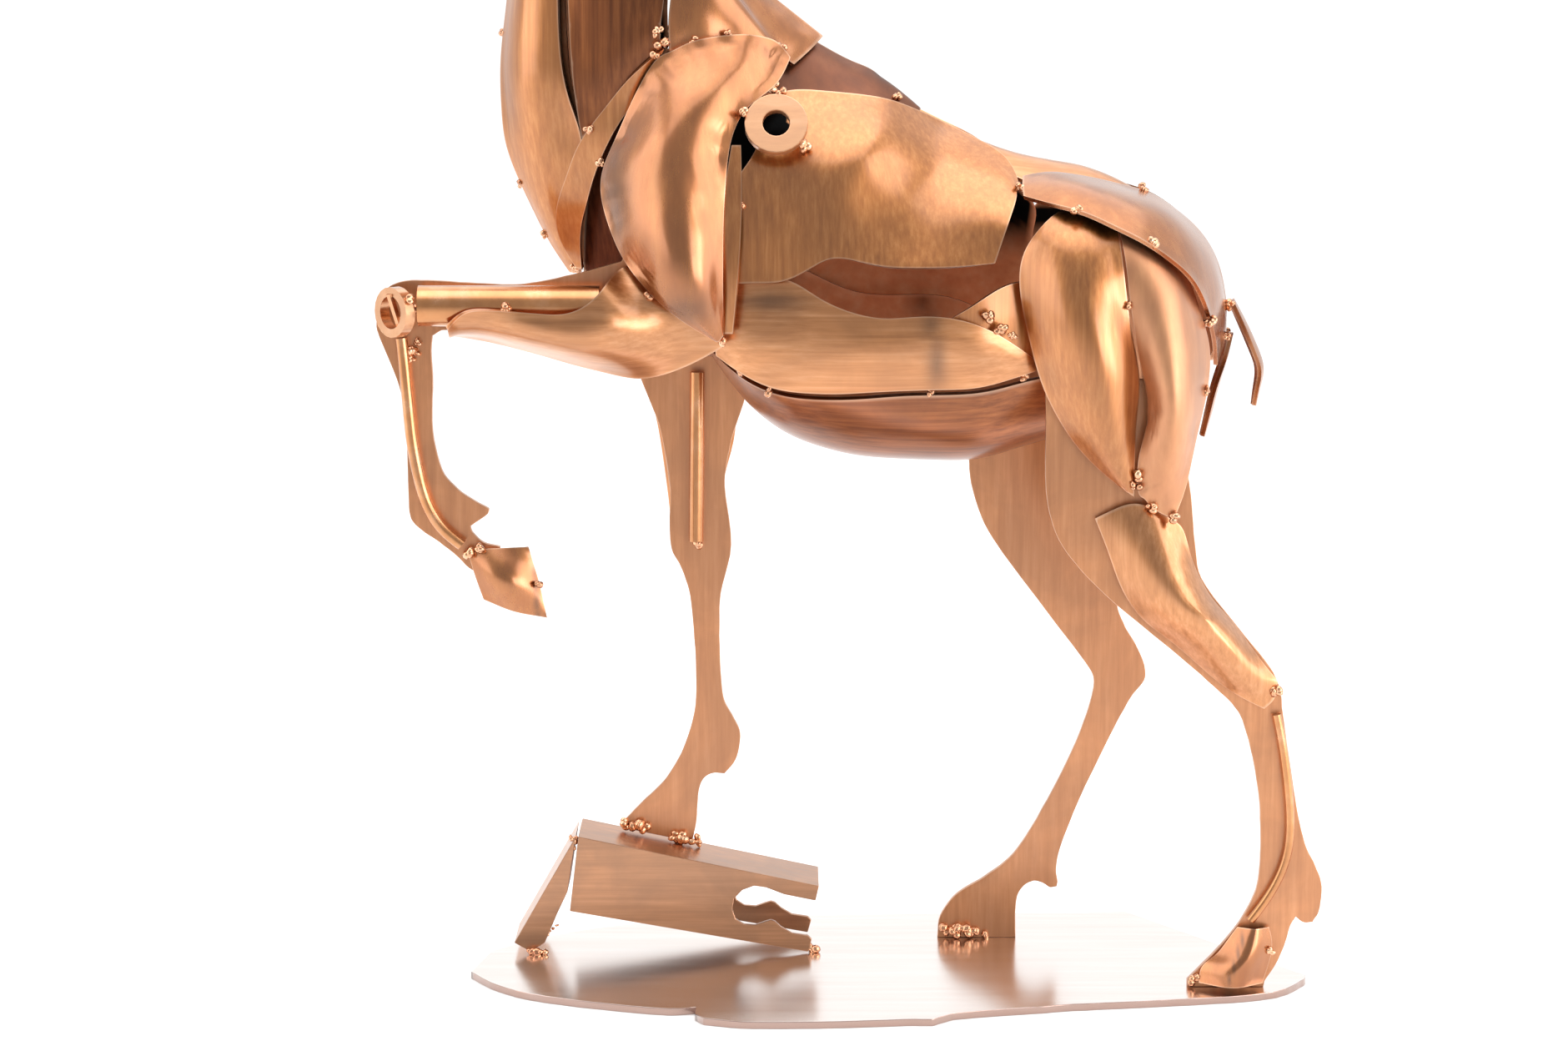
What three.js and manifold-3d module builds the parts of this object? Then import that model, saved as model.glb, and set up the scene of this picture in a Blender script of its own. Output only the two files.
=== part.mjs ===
// Standing stag made of cut, hammered and welded metal sheet on a flat plate.
// Millimetres. +X runs from the muzzle to the tail, +Z is up, the left side faces -Y.
import * as THREE from "three";
import ManifoldModule from "manifold-3d";

// Driving dimensions
const STAG_HEIGHT = 485;
const BASE_THICKNESS = 2;
const LEG_PLATE_THICKNESS = 2;
const SHEET_THICKNESS = 1.2;
const CLEARANCE = 0.3;
const STEP_WIDTH = 22;
const STEP_NEAR_Y = 7.5;
const STEP_WALL = 1.5;
const PROP_THICKNESS = 20;
const TUBE_RADIUS = 5.3;
const RING_OUTER_RADIUS = 6.6;
const RING_INNER_RADIUS = 4.3;
const RING_LENGTH = 3;
const WASHER_OUTER_RADIUS = 8.2;
const WASHER_INNER_RADIUS = 3.5;
const WASHER_THICKNESS = 2.4;
const ROD_RADIUS = 1.6;
const THIN_ROD_RADIUS = 1.2;
const FORELEG_TUBE_RADIUS = 2;
const ANTLER_RADIUS = 3.2;
const TINE_RADIUS = 2.1;
const EYE_RADIUS = 2.1;

// The figure's points are those of a stag 485 mm tall, and grow with its height
const share = STAG_HEIGHT / 485;
const legY = 25 * share;
const legFaceY = legY + LEG_PLATE_THICKNESS / 2;
const dressY = (legFaceY + CLEARANCE + SHEET_THICKNESS) / share;
const dress = (x, z, rise = 0) => [x, -dressY - rise, z];
const wasm = await ManifoldModule();
wasm.setup();
const { Manifold, Mesh } = wasm;

const COPPER = { dark: 0x6b3f2b, mid: 0x9a6244, light: 0xc08a6a, plate: 0xa8694a };
const stag = new THREE.Group();
stag.name = "metal_stag";

function add(name, geometry, color, roughness = 0.45) {
  const material = new THREE.MeshStandardMaterial({ color, metalness: 0.9, roughness });
  const mesh = new THREE.Mesh(geometry, material);
  mesh.name = name;
  stag.add(mesh);
}

// Shape builders
function indexed(positions, index) {
  const geometry = new THREE.BufferGeometry();
  geometry.setAttribute("position", new THREE.Float32BufferAttribute(positions, 3));
  geometry.setIndex(index);
  geometry.computeVertexNormals();
  return geometry;
}

// The same body on the other side of the stag
function mirrored(geometry) {
  const copy = geometry.clone().scale(1, -1, 1);
  const order = copy.index.array;
  for (let i = 0; i < order.length; i += 3) [order[i], order[i + 2]] = [order[i + 2], order[i]];
  copy.computeVertexNormals();
  return copy;
}

// Upright plate cut to an outline in x and z. Each run of points is one smooth
// line, a run of one point is a corner reached by a straight cut.
function plate(runs, y, thickness, segments = 1) {
  const shape = new THREE.Shape();
  const place = (p) => new THREE.Vector2(...p).multiplyScalar(share);
  shape.moveTo(...place(runs[0][0]));
  runs.forEach((run, i) => {
    const rest = (i === 0 ? run.slice(1) : run).map(place);
    if (rest.length === 1) shape.lineTo(...rest[0]);
    else if (rest.length) shape.splineThru(rest);
  });
  const options = { depth: thickness, bevelEnabled: false, curveSegments: segments };
  const geometry = new THREE.ExtrudeGeometry(shape, options);
  geometry.rotateX(Math.PI / 2).translate(0, y + thickness / 2, 0);
  return geometry;
}

const toVector = (p) => new THREE.Vector3(...p).multiplyScalar(share);
const smoothLine = (points) => new THREE.CatmullRomCurve3(points.map(toVector));

// Formed sheet between four edge lines of [x, y, z] points. Left to right runs
// along the stag, top to bottom runs down its side, swell pushes the middle out.
function sheet({ top, bottom, left, right, swell = [0, 0, 0] }, cols = 8, rows = 6) {
  const [t, b, l, r] = [top, bottom, left, right].map(smoothLine);
  const push = toVector(swell);
  const corners = [t.getPoint(0), t.getPoint(1), b.getPoint(0), b.getPoint(1)];
  const grid = [];
  for (let i = 0; i <= rows; i++) {
    for (let j = 0; j <= cols; j++) {
      const [u, v] = [j / cols, i / rows];
      const p = new THREE.Vector3();
      p.addScaledVector(t.getPointAt(u), 1 - v).addScaledVector(b.getPointAt(u), v);
      p.addScaledVector(l.getPointAt(v), 1 - u).addScaledVector(r.getPointAt(v), u);
      p.addScaledVector(corners[0], -(1 - u) * (1 - v)).addScaledVector(corners[1], -u * (1 - v));
      p.addScaledVector(corners[2], -(1 - u) * v).addScaledVector(corners[3], -u * v);
      p.addScaledVector(push, Math.sin(Math.PI * u) * Math.sin(Math.PI * v));
      grid.push(p);
    }
  }
  return thickened(grid, cols, rows);
}

// Gives a grid of points the sheet thickness on its inner side and closes the rim
function thickened(grid, cols, rows) {
  const at = (i, j) => grid[i * (cols + 1) + j];
  const outer = [];
  const inner = [];
  for (let i = 0; i <= rows; i++) {
    for (let j = 0; j <= cols; j++) {
      const along = at(i, Math.min(j + 1, cols)).clone().sub(at(i, Math.max(j - 1, 0)));
      const down = at(Math.min(i + 1, rows), j).clone().sub(at(Math.max(i - 1, 0), j));
      const out = down.cross(along).normalize();
      outer.push(...at(i, j));
      inner.push(...at(i, j).clone().addScaledVector(out, -SHEET_THICKNESS));
    }
  }
  const n = grid.length;
  const index = [];
  const quad = (a, b, c, d) => index.push(a, b, c, a, c, d);
  const k = (i, j) => i * (cols + 1) + j;
  for (let i = 0; i < rows; i++) {
    for (let j = 0; j < cols; j++) {
      quad(k(i, j), k(i + 1, j), k(i + 1, j + 1), k(i, j + 1));
      quad(n + k(i, j), n + k(i, j + 1), n + k(i + 1, j + 1), n + k(i + 1, j));
    }
  }
  for (let j = 0; j < cols; j++) {
    quad(k(0, j), k(0, j + 1), n + k(0, j + 1), n + k(0, j));
    quad(k(rows, j + 1), k(rows, j), n + k(rows, j), n + k(rows, j + 1));
  }
  for (let i = 0; i < rows; i++) {
    quad(k(i + 1, 0), k(i, 0), n + k(i, 0), n + k(i + 1, 0));
    quad(k(i, cols), k(i + 1, cols), n + k(i + 1, cols), n + k(i, cols));
  }
  return indexed([...outer, ...inner], index);
}

// Round bar through points, with flat ends, which may taper
function bar(points, startRadius, endRadius = startRadius, steps = 8, sides = 8) {
  const line = smoothLine(points);
  const frames = line.computeFrenetFrames(steps);
  const positions = [];
  for (let i = 0; i <= steps; i++) {
    const centre = line.getPointAt(i / steps);
    const radius = THREE.MathUtils.lerp(startRadius, endRadius, i / steps);
    for (let s = 0; s < sides; s++) {
      const a = (s / sides) * 2 * Math.PI;
      const p = centre.clone().addScaledVector(frames.normals[i], radius * Math.cos(a));
      positions.push(...p.addScaledVector(frames.binormals[i], radius * Math.sin(a)));
    }
  }
  const index = [];
  const k = (i, s) => i * sides + (s % sides);
  for (let i = 0; i < steps; i++) {
    for (let s = 0; s < sides; s++) {
      index.push(k(i, s), k(i, s + 1), k(i + 1, s + 1), k(i, s), k(i + 1, s + 1), k(i + 1, s));
    }
  }
  for (let s = 1; s < sides - 1; s++) {
    index.push(k(0, 0), k(0, s + 1), k(0, s), k(steps, 0), k(steps, s), k(steps, s + 1));
  }
  return indexed(positions, index);
}

// Ring or washer turned about its own axis, placed with that axis along a direction
function ring(centre, axis, outer, inner, length, sides = 24) {
  const half = length / 2;
  const profile = [[inner, -half], [outer, -half], [outer, half], [inner, half], [inner, -half]];
  const geometry = new THREE.LatheGeometry(profile.map((p) => new THREE.Vector2(...p)), sides);
  const turn = new THREE.Quaternion();
  turn.setFromUnitVectors(new THREE.Vector3(0, 1, 0), new THREE.Vector3(...axis).normalize());
  return geometry.applyQuaternion(turn).translate(...toVector(centre));
}

// Boolean bodies, with corners that share a place joined first
function solid(geometry) {
  const source = geometry.index ? geometry.toNonIndexed() : geometry;
  const place = source.getAttribute("position");
  const seen = new Map();
  const vertices = [];
  const triangles = [];
  for (let i = 0; i < place.count; i++) {
    const p = [place.getX(i), place.getY(i), place.getZ(i)];
    const key = p.map((v) => Math.round(v * 1e4)).join();
    if (!seen.has(key)) seen.set(key, vertices.push(...p) / 3 - 1);
    triangles.push(seen.get(key));
  }
  const vertProperties = new Float32Array(vertices);
  return new Manifold(new Mesh({ numProp: 3, vertProperties, triVerts: new Uint32Array(triangles) }));
}

function geometryOf(body) {
  const mesh = body.getMesh();
  return indexed([...mesh.vertProperties], [...mesh.triVerts]);
}

// Base plate with its clipped front left corner and the shallow tongue in front
const baseOutline = [
  [[-104, -11]], [[-95, -25], [-85, -33], [-72, -39], [-52, -46], [-42, -45]], [[-42, -51]],
  [[-38, -56], [-20, -59], [12, -56], [20, -56]], [[27, -50]],
  [[51, -44], [59, -42], [92, -36.5], [108, -32.5], [116, -27], [122, -18], [123, -14]],
  [[80, 53]], [[61, 51], [-4, 49], [-52, 42], [-82, 28], [-100, 10]],
];
const basePlate = plate(baseOutline, 0, BASE_THICKNESS);
basePlate.rotateX(-Math.PI / 2).translate(0, 0, BASE_THICKNESS / 2);
add("base_plate", basePlate, COPPER.plate, 0.35);

// Sloping step, a channel with two side walls cut out alike
const stepOutline = [
  [[-75.5, 35.2]], [[-9, 21.2]], [[-10, 17]], [[-19.5, 19], [-24.5, 21], [-28, 21], [-31.5, 19], [-33, 16],
    [-32.5, 12.5], [-30.5, 10.5], [-27, 10], [-24, 11]], [[-22, 11.5], [-20.5, 10.5], [-17.5, 8], [-12, 7]],
  [[-11, 6]], [[-12, 2.4]], [[-78, 14]],
];
const stepMidY = STEP_NEAR_Y + STEP_WIDTH / 2;
const stepBlock = solid(plate(stepOutline, stepMidY, STEP_WIDTH, 1));
const stepHollow = [[[-90, 36.4]], [[4, 16.6]], [[4, -8]], [[-90, -8]]];
const stepCutter = solid(plate(stepHollow, stepMidY, STEP_WIDTH - 2 * STEP_WALL));
add("step_channel", geometryOf(stepBlock.subtract(stepCutter)), COPPER.mid);

const propOutline = [[[-76.2, 35.2]], [[-93.5, 5]], [[-89, 2.4]], [[-85, 5]], [[-81.4, 13.5]],
  [[-78.6, 19.5]]];
add("step_prop", plate(propOutline, STEP_NEAR_Y + PROP_THICKNESS / 2, PROP_THICKNESS), COPPER.dark);

// Right foreleg, standing on the step
const rightForeleg = [
  [[-60, 168], [-58, 160], [-55, 152.5], [-52.5, 145], [-51, 135], [-50, 128.5], [-50.5, 116], [-49, 111],
    [-46, 105], [-44.5, 97], [-43.5, 85], [-43.2, 72], [-44.5, 63.5], [-47.5, 55], [-52, 47.5],
    [-58, 41.5], [-64, 35.2]],
  [[-63.5, 33.6]], [[-44.5, 29.6]], [[-43.5, 34], [-43, 38], [-42.5, 44.5], [-41, 48], [-38, 49.5],
    [-34.5, 49.5],
    [-32, 54], [-31, 58.5], [-31.5, 63.5], [-34.5, 68], [-36, 73.5], [-36.5, 85], [-36.5, 97.5],
    [-35.5, 104], [-33.5, 112.5], [-33.5, 117], [-35, 128.5], [-34.5, 136.5], [-33, 144], [-31, 150],
    [-29, 156.5], [-27, 166]],
];
add("right_foreleg_plate", plate(rightForeleg, legY, LEG_PLATE_THICKNESS), COPPER.mid);
const legTubeY = (legY - LEG_PLATE_THICKNESS / 2 - FORELEG_TUBE_RADIUS - CLEARANCE) / share;
const legTube = [[-42.5, legTubeY, 162.5], [-43, legTubeY, 115.5]];
add("right_foreleg_tube", bar(legTube, FORELEG_TUBE_RADIUS, FORELEG_TUBE_RADIUS, 1, 10), COPPER.light, 0.3);
add("right_forearm_shell", mirrored(sheet({
  top: [dress(-60, 169), dress(-48, 170, 1.2), dress(-37.5, 167)],
  bottom: [dress(-49.5, 112), dress(-42, 104), dress(-34.2, 112)],
  left: [dress(-60, 169), dress(-54.5, 151), dress(-51.2, 130), dress(-49.5, 112)],
  right: [dress(-37.5, 167), dress(-32, 148), dress(-35.5, 130), dress(-34.2, 112)],
  swell: [0, -6, 0],
}, 4, 6)), COPPER.dark);

// Left foreleg, raised and bent at the knee
const leftForeleg = [
  [[-125, 179], [-124.5, 185.5], [-122.5, 190], [-117, 192]], [[-108, 192], [-92.5, 191], [-84, 191.5],
    [-72, 194]], [[-61, 197]], [[-59, 202]], [[-54, 203]], [[-46, 194]], [[-46, 178]], [[-58, 172.5]],
    [[-84, 177]],
  [[-101.5, 178.5], [-108, 179], [-110.8, 177], [-110.8, 172], [-110.5, 162.5], [-110.5, 147],
    [-106.5, 139.5], [-102, 135],
    [-97, 132.5], [-96.3, 131], [-98, 129.5], [-101, 127.5], [-101, 126], [-98, 123], [-93.5, 121.8]],
  [[-93.5, 114]], [[-101.5, 115.7], [-106, 120.3], [-111.1, 124.1], [-116, 127.8], [-117.3, 131.8],
    [-117.6, 143.1], [-117.9, 155.7], [-120, 166]],
];
add("left_foreleg_plate", plate(leftForeleg, -legY, LEG_PLATE_THICKNESS), COPPER.mid);
const tubeY = -(legFaceY + TUBE_RADIUS + CLEARANCE) / share;
const tubeStartX = -119.5 + (0.7 * RING_OUTER_RADIUS + 0.36 * RING_LENGTH + CLEARANCE) / share;
const forearmTube = [[tubeStartX, tubeY, 186], [-66.5, tubeY, 186]];
add("left_forearm_tube", bar(forearmTube, TUBE_RADIUS, TUBE_RADIUS, 1, 20), COPPER.light, 0.3);
const kneeRing = ring([-119.5, tubeY - 1.4, 184.5], [-0.72, -0.695, 0],
  RING_OUTER_RADIUS, RING_INNER_RADIUS, RING_LENGTH, 20);
const kneeBar = bar([[-120.7, tubeY - 2.4, 189.4], [-118, tubeY - 0.6, 179.6]], 1, 1, 1, 6);
add("left_knee_ring", geometryOf(solid(kneeRing).add(solid(kneeBar))), COPPER.light, 0.3);
const cannonRodY = -(legFaceY + ROD_RADIUS + CLEARANCE) / share;
const cannonRod = [[-118.5, 177.2], [-117.6, 168], [-116.6, 155.4], [-115, 143.5], [-112.4, 133.6],
  [-108.2, 126.6], [-103.4, 122.6]];
add("left_foreleg_rod", bar(cannonRod.map(([x, z]) => [x, cannonRodY, z]), ROD_RADIUS), COPPER.light, 0.3);
const coverY = tubeY - (TUBE_RADIUS + CLEARANCE + SHEET_THICKNESS) / share;
const cover = (x, z, rise) => [x, coverY - rise, z];
add("left_forearm_shell", sheet({
  top: [cover(-105.5, 180.4, -0.9), cover(-103, 183.4, 0.5), cover(-99.5, 185.3, 1.4),
    cover(-92, 185.5, 1.8), cover(-82, 184.8, 2), cover(-72, 185.5, 1.9),
    [-66, -39.2, 190.5], [-61.5, -32.4, 195.4], [-57, -29.6, 197.6]],
  bottom: [dress(-105.5, 177.6), dress(-97.5, 176.4), dress(-85.5, 173.5), dress(-69.5, 169),
    dress(-55.5, 166.5, 0.4),
    dress(-49, 168, 0.9), dress(-41, 171.5, 2.4), dress(-34, 175.6, 3.9)],
  left: [cover(-105.5, 180.4, -0.9), dress(-105.5, 177.9, 5.8), dress(-105.5, 177.6)],
  right: [[-57, -29.6, 197.6], [-49.5, -34.2, 189.5], [-42, -33.6, 183], dress(-34, 175.6, 3.9)],
  swell: [0, -3, 0],
}, 9, 4), COPPER.mid);
add("left_forehoof", sheet({
  top: [dress(-101.7, 119.6), dress(-98.5, 121.3, 0.6), dress(-92, 121.9, 1), dress(-85.9, 122)],
  bottom: [dress(-97.9, 107.9), dress(-90, 104.9, 1), dress(-81.2, 103)],
  left: [dress(-101.7, 119.6), dress(-99.8, 113.3), dress(-97.9, 107.9)],
  right: [dress(-85.9, 122), dress(-83.2, 112.6), dress(-81.2, 103)],
  swell: [0, -3.5, 0],
}, 6, 4), COPPER.light);

// Hind legs, the left one set back and the right one forward
const footZ = (BASE_THICKNESS + CLEARANCE) / share;
const leftHind = [
  [[49.5, 169.5]], [[50, 154.5], [50, 141.5], [51, 131.5], [54.5, 122], [60.5, 114.5], [65.5, 109.5],
    [71, 104.5], [79, 98],
    [90.5, 88.5], [98, 81.5], [101.5, 78], [103.7, 73], [105.5, 66.5], [107.5, 57], [108.3, 47],
    [108.5, 39], [108, 31],
    [106, 25], [103, 19.5], [97.5, 12.5], [89.5, 4]],
  [[89.5, footZ]], [[110, footZ]], [[110.5, 4], [112.5, 7], [115, 12], [116.5, 17.5],
    [118, 21.3], [120.5, 19.8]],
  [[123, 20], [124.6, 23.5], [125, 31], [122.5, 37], [119.5, 44], [117, 57], [114.5, 73], [113, 81],
    [112.3, 86],
    [105, 96], [93, 110.5], [90, 120.5], [88.6, 134], [87, 143], [85, 152.5]],
  [[84, 165]],
];
add("left_hind_plate", plate(leftHind, -legY, LEG_PLATE_THICKNESS), COPPER.plate);
const rightHind = [
  [[32.5, 150]], [[32.5, 134.5], [34, 127.5], [37.5, 118.5], [45, 107.5], [54, 96], [62, 85], [66.5, 79],
    [67.6, 75.5],
    [67, 71], [64.5, 62.5], [59, 49.5], [51, 34.5], [46, 26.5], [39, 20.5], [31, 15.5], [27.5, 12],
    [25, 7.5]],
  [[24.5, footZ]], [[46.5, footZ]], [[46.5, 11], [47.5, 15.5], [50.5, 18.2], [53.5, 18],
    [56, 16.5]],
  [[58, 16.8], [58.2, 18.5], [57.8, 23], [59.5, 30], [65.5, 45.5], [71.5, 58], [76.5, 68.5],
    [80.5, 74.5], [82.3, 77.5],
    [80, 84.5], [77, 89.5], [74, 96], [74, 104], [75, 117], [82.5, 135.5]],
  [[88, 156.5]],
];
add("right_hind_plate", plate(rightHind, legY, LEG_PLATE_THICKNESS), COPPER.mid);
const gaskin = {
  top: [dress(63, 129.5), dress(69, 132.6, 1.4), dress(74, 133.8, 1.7), dress(79.3, 131.8, 1.4),
    dress(86, 127)],
  right: [dress(86, 127), dress(88.5, 119.5), dress(93, 110), dress(101, 100.5), dress(106, 93.5),
    dress(112, 86)],
  left: [dress(63, 129.5), dress(67, 119.5), dress(70, 111.5), dress(73.5, 105), dress(82, 98),
    dress(90, 91),
    dress(97.5, 84.8), dress(104, 80.5), dress(108.5, 78.5)],
  bottom: [dress(108.5, 78.5), dress(111, 81), dress(112, 86)],
  swell: [0, -8, 0],
};
add("left_gaskin_shell", sheet(gaskin, 5, 7), COPPER.mid);
const rightGaskin = {
  top: [dress(35, 133), dress(46, 138, 1.4), dress(58, 140, 1.7), dress(75, 128)],
  right: [dress(75, 128), dress(73.5, 112), dress(73, 98), dress(79, 84)],
  left: [dress(35, 133), dress(41, 115), dress(55, 97), dress(69, 78)],
  bottom: [dress(69, 78), dress(75, 79), dress(79, 84)],
  swell: [0, -8, 0],
};
add("right_gaskin_shell", mirrored(sheet(rightGaskin, 4, 5)), COPPER.dark);
const hindRodY = -(legFaceY + THIN_ROD_RADIUS + CLEARANCE) / share;
const hindRod = [[111.8, 77], [113.4, 69.5], [115.2, 57.5], [116, 47.5], [115.5, 39.5], [113.5, 33],
  [110, 26.5], [106, 20.8]];
add("left_hind_rod", bar(hindRod.map(([x, z]) => [x, hindRodY, z]),
  THIN_ROD_RADIUS, THIN_ROD_RADIUS, 10), COPPER.light, 0.3);
add("left_hind_hoof", sheet({
  top: [dress(102.5, 19), dress(107, 19.2, 2.9), dress(111, 19)],
  right: [dress(111, 19), dress(112, 13.5), dress(111, 9, 0.4), dress(109.5, 3.6, 0.4)],
  bottom: [dress(92.5, 3.6), dress(101, 3.6, 5.4), dress(109.5, 3.6, 0.4)],
  left: [dress(102.5, 19), dress(97, 11.5), dress(92.5, 7), dress(92.5, 3.6)],
  swell: [0, -1, 0],
}, 6, 4), COPPER.light);

// Thighs and rump
const thighFront = {
  top: [[51, -27.2, 209], [56, -26.8, 210.8], [61, -27.6, 210.6], [67.2, -29.8, 207]],
  left: [[51, -27.2, 209], [46.5, -29.2, 203.5], [43.5, -29, 199.5], [42.5, -28.6, 192.5],
    [44.5, -28.4, 180], [49.5, -28.4, 163], [59, -28.6, 147.5], [70.6, -30, 137.2]],
  right: [[67.2, -29.8, 207], [68.8, -33.4, 198], [70.2, -34, 187], [72, -33.2, 176.6],
    [73.8, -32.4, 166.6],
    [73.4, -31.9, 158], [73, -31.5, 150], [72.9, -31, 143], [72.9, -30.4, 135.8]],
  bottom: [[70.6, -30, 137.2], [72.9, -30.4, 135.8]],
  swell: [0, -9, 0],
};
const thighRear = {
  top: [[68, -30.2, 206.2], [75.5, -29.2, 202.8], [82.5, -26, 197.8], [88, -21.6, 190.6]],
  right: [[88, -21.6, 190.6], [90.8, -23, 182], [93, -23, 173.5], [92.4, -25, 164], [89.8, -28, 153],
    [87.8, -29, 143.6], [85.2, -30, 133.5], [83.4, -30.4, 129.6]],
  left: [[68, -30.2, 206.2], [69.5, -33.9, 198], [70.9, -34.5, 187], [72.7, -33.7, 176.6],
    [74.6, -32.8, 167],
    [76.2, -32.4, 159.6], [75.2, -31.9, 152], [74, -31.3, 147], [73.8, -31, 141], [73.9, -30.6, 137.4]],
  bottom: [[73.9, -30.6, 137.4], [77.6, -30.6, 133], [83.4, -30.4, 129.6]],
  swell: [0, -8, 0],
};
add("left_thigh_front_shell", sheet(thighFront, 5, 7), COPPER.mid);
add("left_thigh_rear_shell", sheet(thighRear, 5, 8), COPPER.light);
add("right_thigh_front_shell", mirrored(sheet(thighFront, 4, 5)), COPPER.dark);
add("right_thigh_rear_shell", mirrored(sheet(thighRear, 4, 5)), COPPER.dark);
const rump = {
  top: [[44, -14.6, 218.6], [51, -12, 219.5], [61, -9, 218.2], [71.5, -5, 215.6], [78.5, -3.5, 213.5],
    [85, -2.5, 209.5],
    [90.5, -1.8, 205], [95.5, -1.5, 198.5], [98, -1.5, 192.5], [99.5, -1.5, 185]],
  right: [[99.5, -1.5, 185], [99.5, -3, 176], [97, -6, 167.5]],
  bottom: [[43.6, -24, 214], [50, -29, 212.5], [56, -32, 211], [61, -33.5, 209.8], [67.5, -35, 206.5],
    [75.5, -34.5, 202.5], [82.5, -32, 197.5], [89, -27.5, 191], [93, -21.5, 182.5], [95.5, -14.5, 175.5],
    [97, -6, 167.5]],
  left: [[44, -14.6, 218.6], [43.6, -19.5, 216.6], [43.6, -24, 214]],
  swell: [1, -3, 2],
};
add("left_rump_shell", sheet(rump, 10, 4), COPPER.light);
add("right_rump_shell", mirrored(sheet(rump, 8, 3)), COPPER.mid);
const tailEdge = [[100.5, 3, 183.6], [103.6, 4, 177], [106.2, 4, 171], [107.9, 3.4, 166.7],
  [107.6, 2.4, 161.7], [106.9, 1.2, 156.3]];
add("tail_leaf_upper", sheet({
  top: [[100.5, 3, 183.6], [100.8, 0, 184.4], [100.5, -3, 183.6]],
  bottom: [[106.9, 1.2, 156.3], [107.2, 0, 156.3], [106.9, -1.2, 156.3]],
  left: tailEdge,
  right: tailEdge.map(([x, y, z]) => [x, -y, z]),
  swell: [0.8, 0, 0],
}, 4, 6), COPPER.mid);
const stumpEdge = [[100.2, 2.6, 175.4], [98.9, 3.2, 170], [96.9, 3, 164], [95.2, 2.4, 157],
  [93.2, 1.2, 148]];
add("tail_leaf_lower", sheet({
  top: [[100.2, 2.6, 175.4], [100.6, 0, 176], [100.2, -2.6, 175.4]],
  bottom: [[93.2, 1.2, 148], [93.6, 0, 148], [93.2, -1.2, 148]],
  left: stumpEdge,
  right: stumpEdge.map(([x, y, z]) => [x, -y, z]),
  swell: [0.6, 0, 0],
}, 4, 4), COPPER.dark);

// Barrel of the body
const ribTop = [[-21, -15.5, 240.5], [-13, -14.5, 241], [6.5, -12.5, 239], [14, -8, 236.6],
  [26, -2.5, 231]];
const rib = {
  top: [[-24, -17, 239], ...ribTop, [33, -5.6, 227.6], [38.5, -9, 224.2], [41.4, -12.4, 221.2],
    [42.6, -16, 217.6]],
  right: [[42.6, -16, 217.6], [41.8, -22.4, 213], [39.5, -28, 207], [36, -31, 197]],
  bottom: [[-33.6, -32, 191.6], [-26.5, -32.5, 192], [-21, -33, 192], [-13.5, -33.5, 195],
    [-6, -34, 198.5], [6.5, -34, 196.5], [18, -33.5, 196], [30.5, -32, 196.5], [36, -31, 197]],
  left: [[-24, -17, 239], [-24.6, -23.5, 231.5], [-26, -27, 226], [-29.4, -29.4, 221],
    [-33.4, -30.4, 214.5],
    [-34.6, -31.2, 204], [-33.6, -32, 191.6]],
  swell: [0, -2, 0],
};
// The far rib sheet reaches behind the thigh and over the belly
const farRib = {
  top: [[-36, -21, 234.5], [-28.5, -18, 237.5], ...ribTop, [38.5, -8.6, 223.4], [43, -14, 216],
    [49, -19, 209.6]],
  right: [[49, -19, 209.6], [49.4, -23.4, 203], [48.6, -25, 194], [46, -26.6, 178]],
  bottom: [[-34, -32.4, 187], [-27, -34, 185], [-13.5, -34.4, 182.5], [6.5, -34.4, 181.4],
    [18, -34.2, 181.2],
    [28, -34.6, 178.6], [36, -33.2, 176.4], [42, -29.9, 176.4], [46, -26.6, 178]],
  left: [[-36, -21, 234.5], [-36.4, -27, 224], [-36.4, -31, 206], [-34, -32.4, 187]],
  swell: [0, -2, 0],
};
add("left_rib_shell", sheet(rib, 10, 8), COPPER.mid);
add("right_rib_shell", mirrored(sheet(farRib, 8, 4)), COPPER.dark);
const belly = {
  top: [[-35.6, -28.4, 193], [-31.5, -29.2, 193], [-26.7, -29.8, 193], [-17, -30.4, 192.4],
    [-12.8, -31.2, 190],
    [-8.2, -31.8, 187.3], [-1.2, -32, 184.4], [9.3, -32, 182.6], [16.2, -32, 183.2],
    [25.5, -31.5, 182.6], [31, -31, 181.2], [38.3, -29.4, 177.4], [45, -26.2, 172.9], [48, -25.2, 170.6]],
  right: [[48, -25.2, 170.6], [48, -24.8, 168.4]],
  bottom: [[-36.6, -25.6, 172.4], [-30.5, -27.3, 168.2], [-25, -28, 165.3], [-18.5, -28, 163.3],
    [-3.5, -28, 162.5], [7.5, -28.5, 163.2],
    [19.5, -28.5, 163.6], [31, -28, 164], [41.6, -26, 166.4], [48, -24.8, 168.4]],
  left: [[-35.6, -28.4, 193], [-36.2, -29, 184], [-36.6, -28, 177], [-36.6, -25.6, 172.4]],
  swell: [0, -1.5, 0],
};
add("left_belly_shell", sheet(belly, 10, 4), COPPER.mid);
add("right_belly_shell", mirrored(sheet(belly, 7, 3)), COPPER.dark);
const keelNear = [[-38.5, -19.5, 173.6], [-30.5, -21.5, 166.5], [-25, -22.5, 163.5],
  [-18.5, -24.5, 161.5], [-3.5, -26, 160.6],
  [7.5, -26.5, 161.5], [19.5, -26.5, 162], [31.5, -25.6, 162.2], [41.5, -23, 164.4], [56, -21, 167]];
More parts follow.
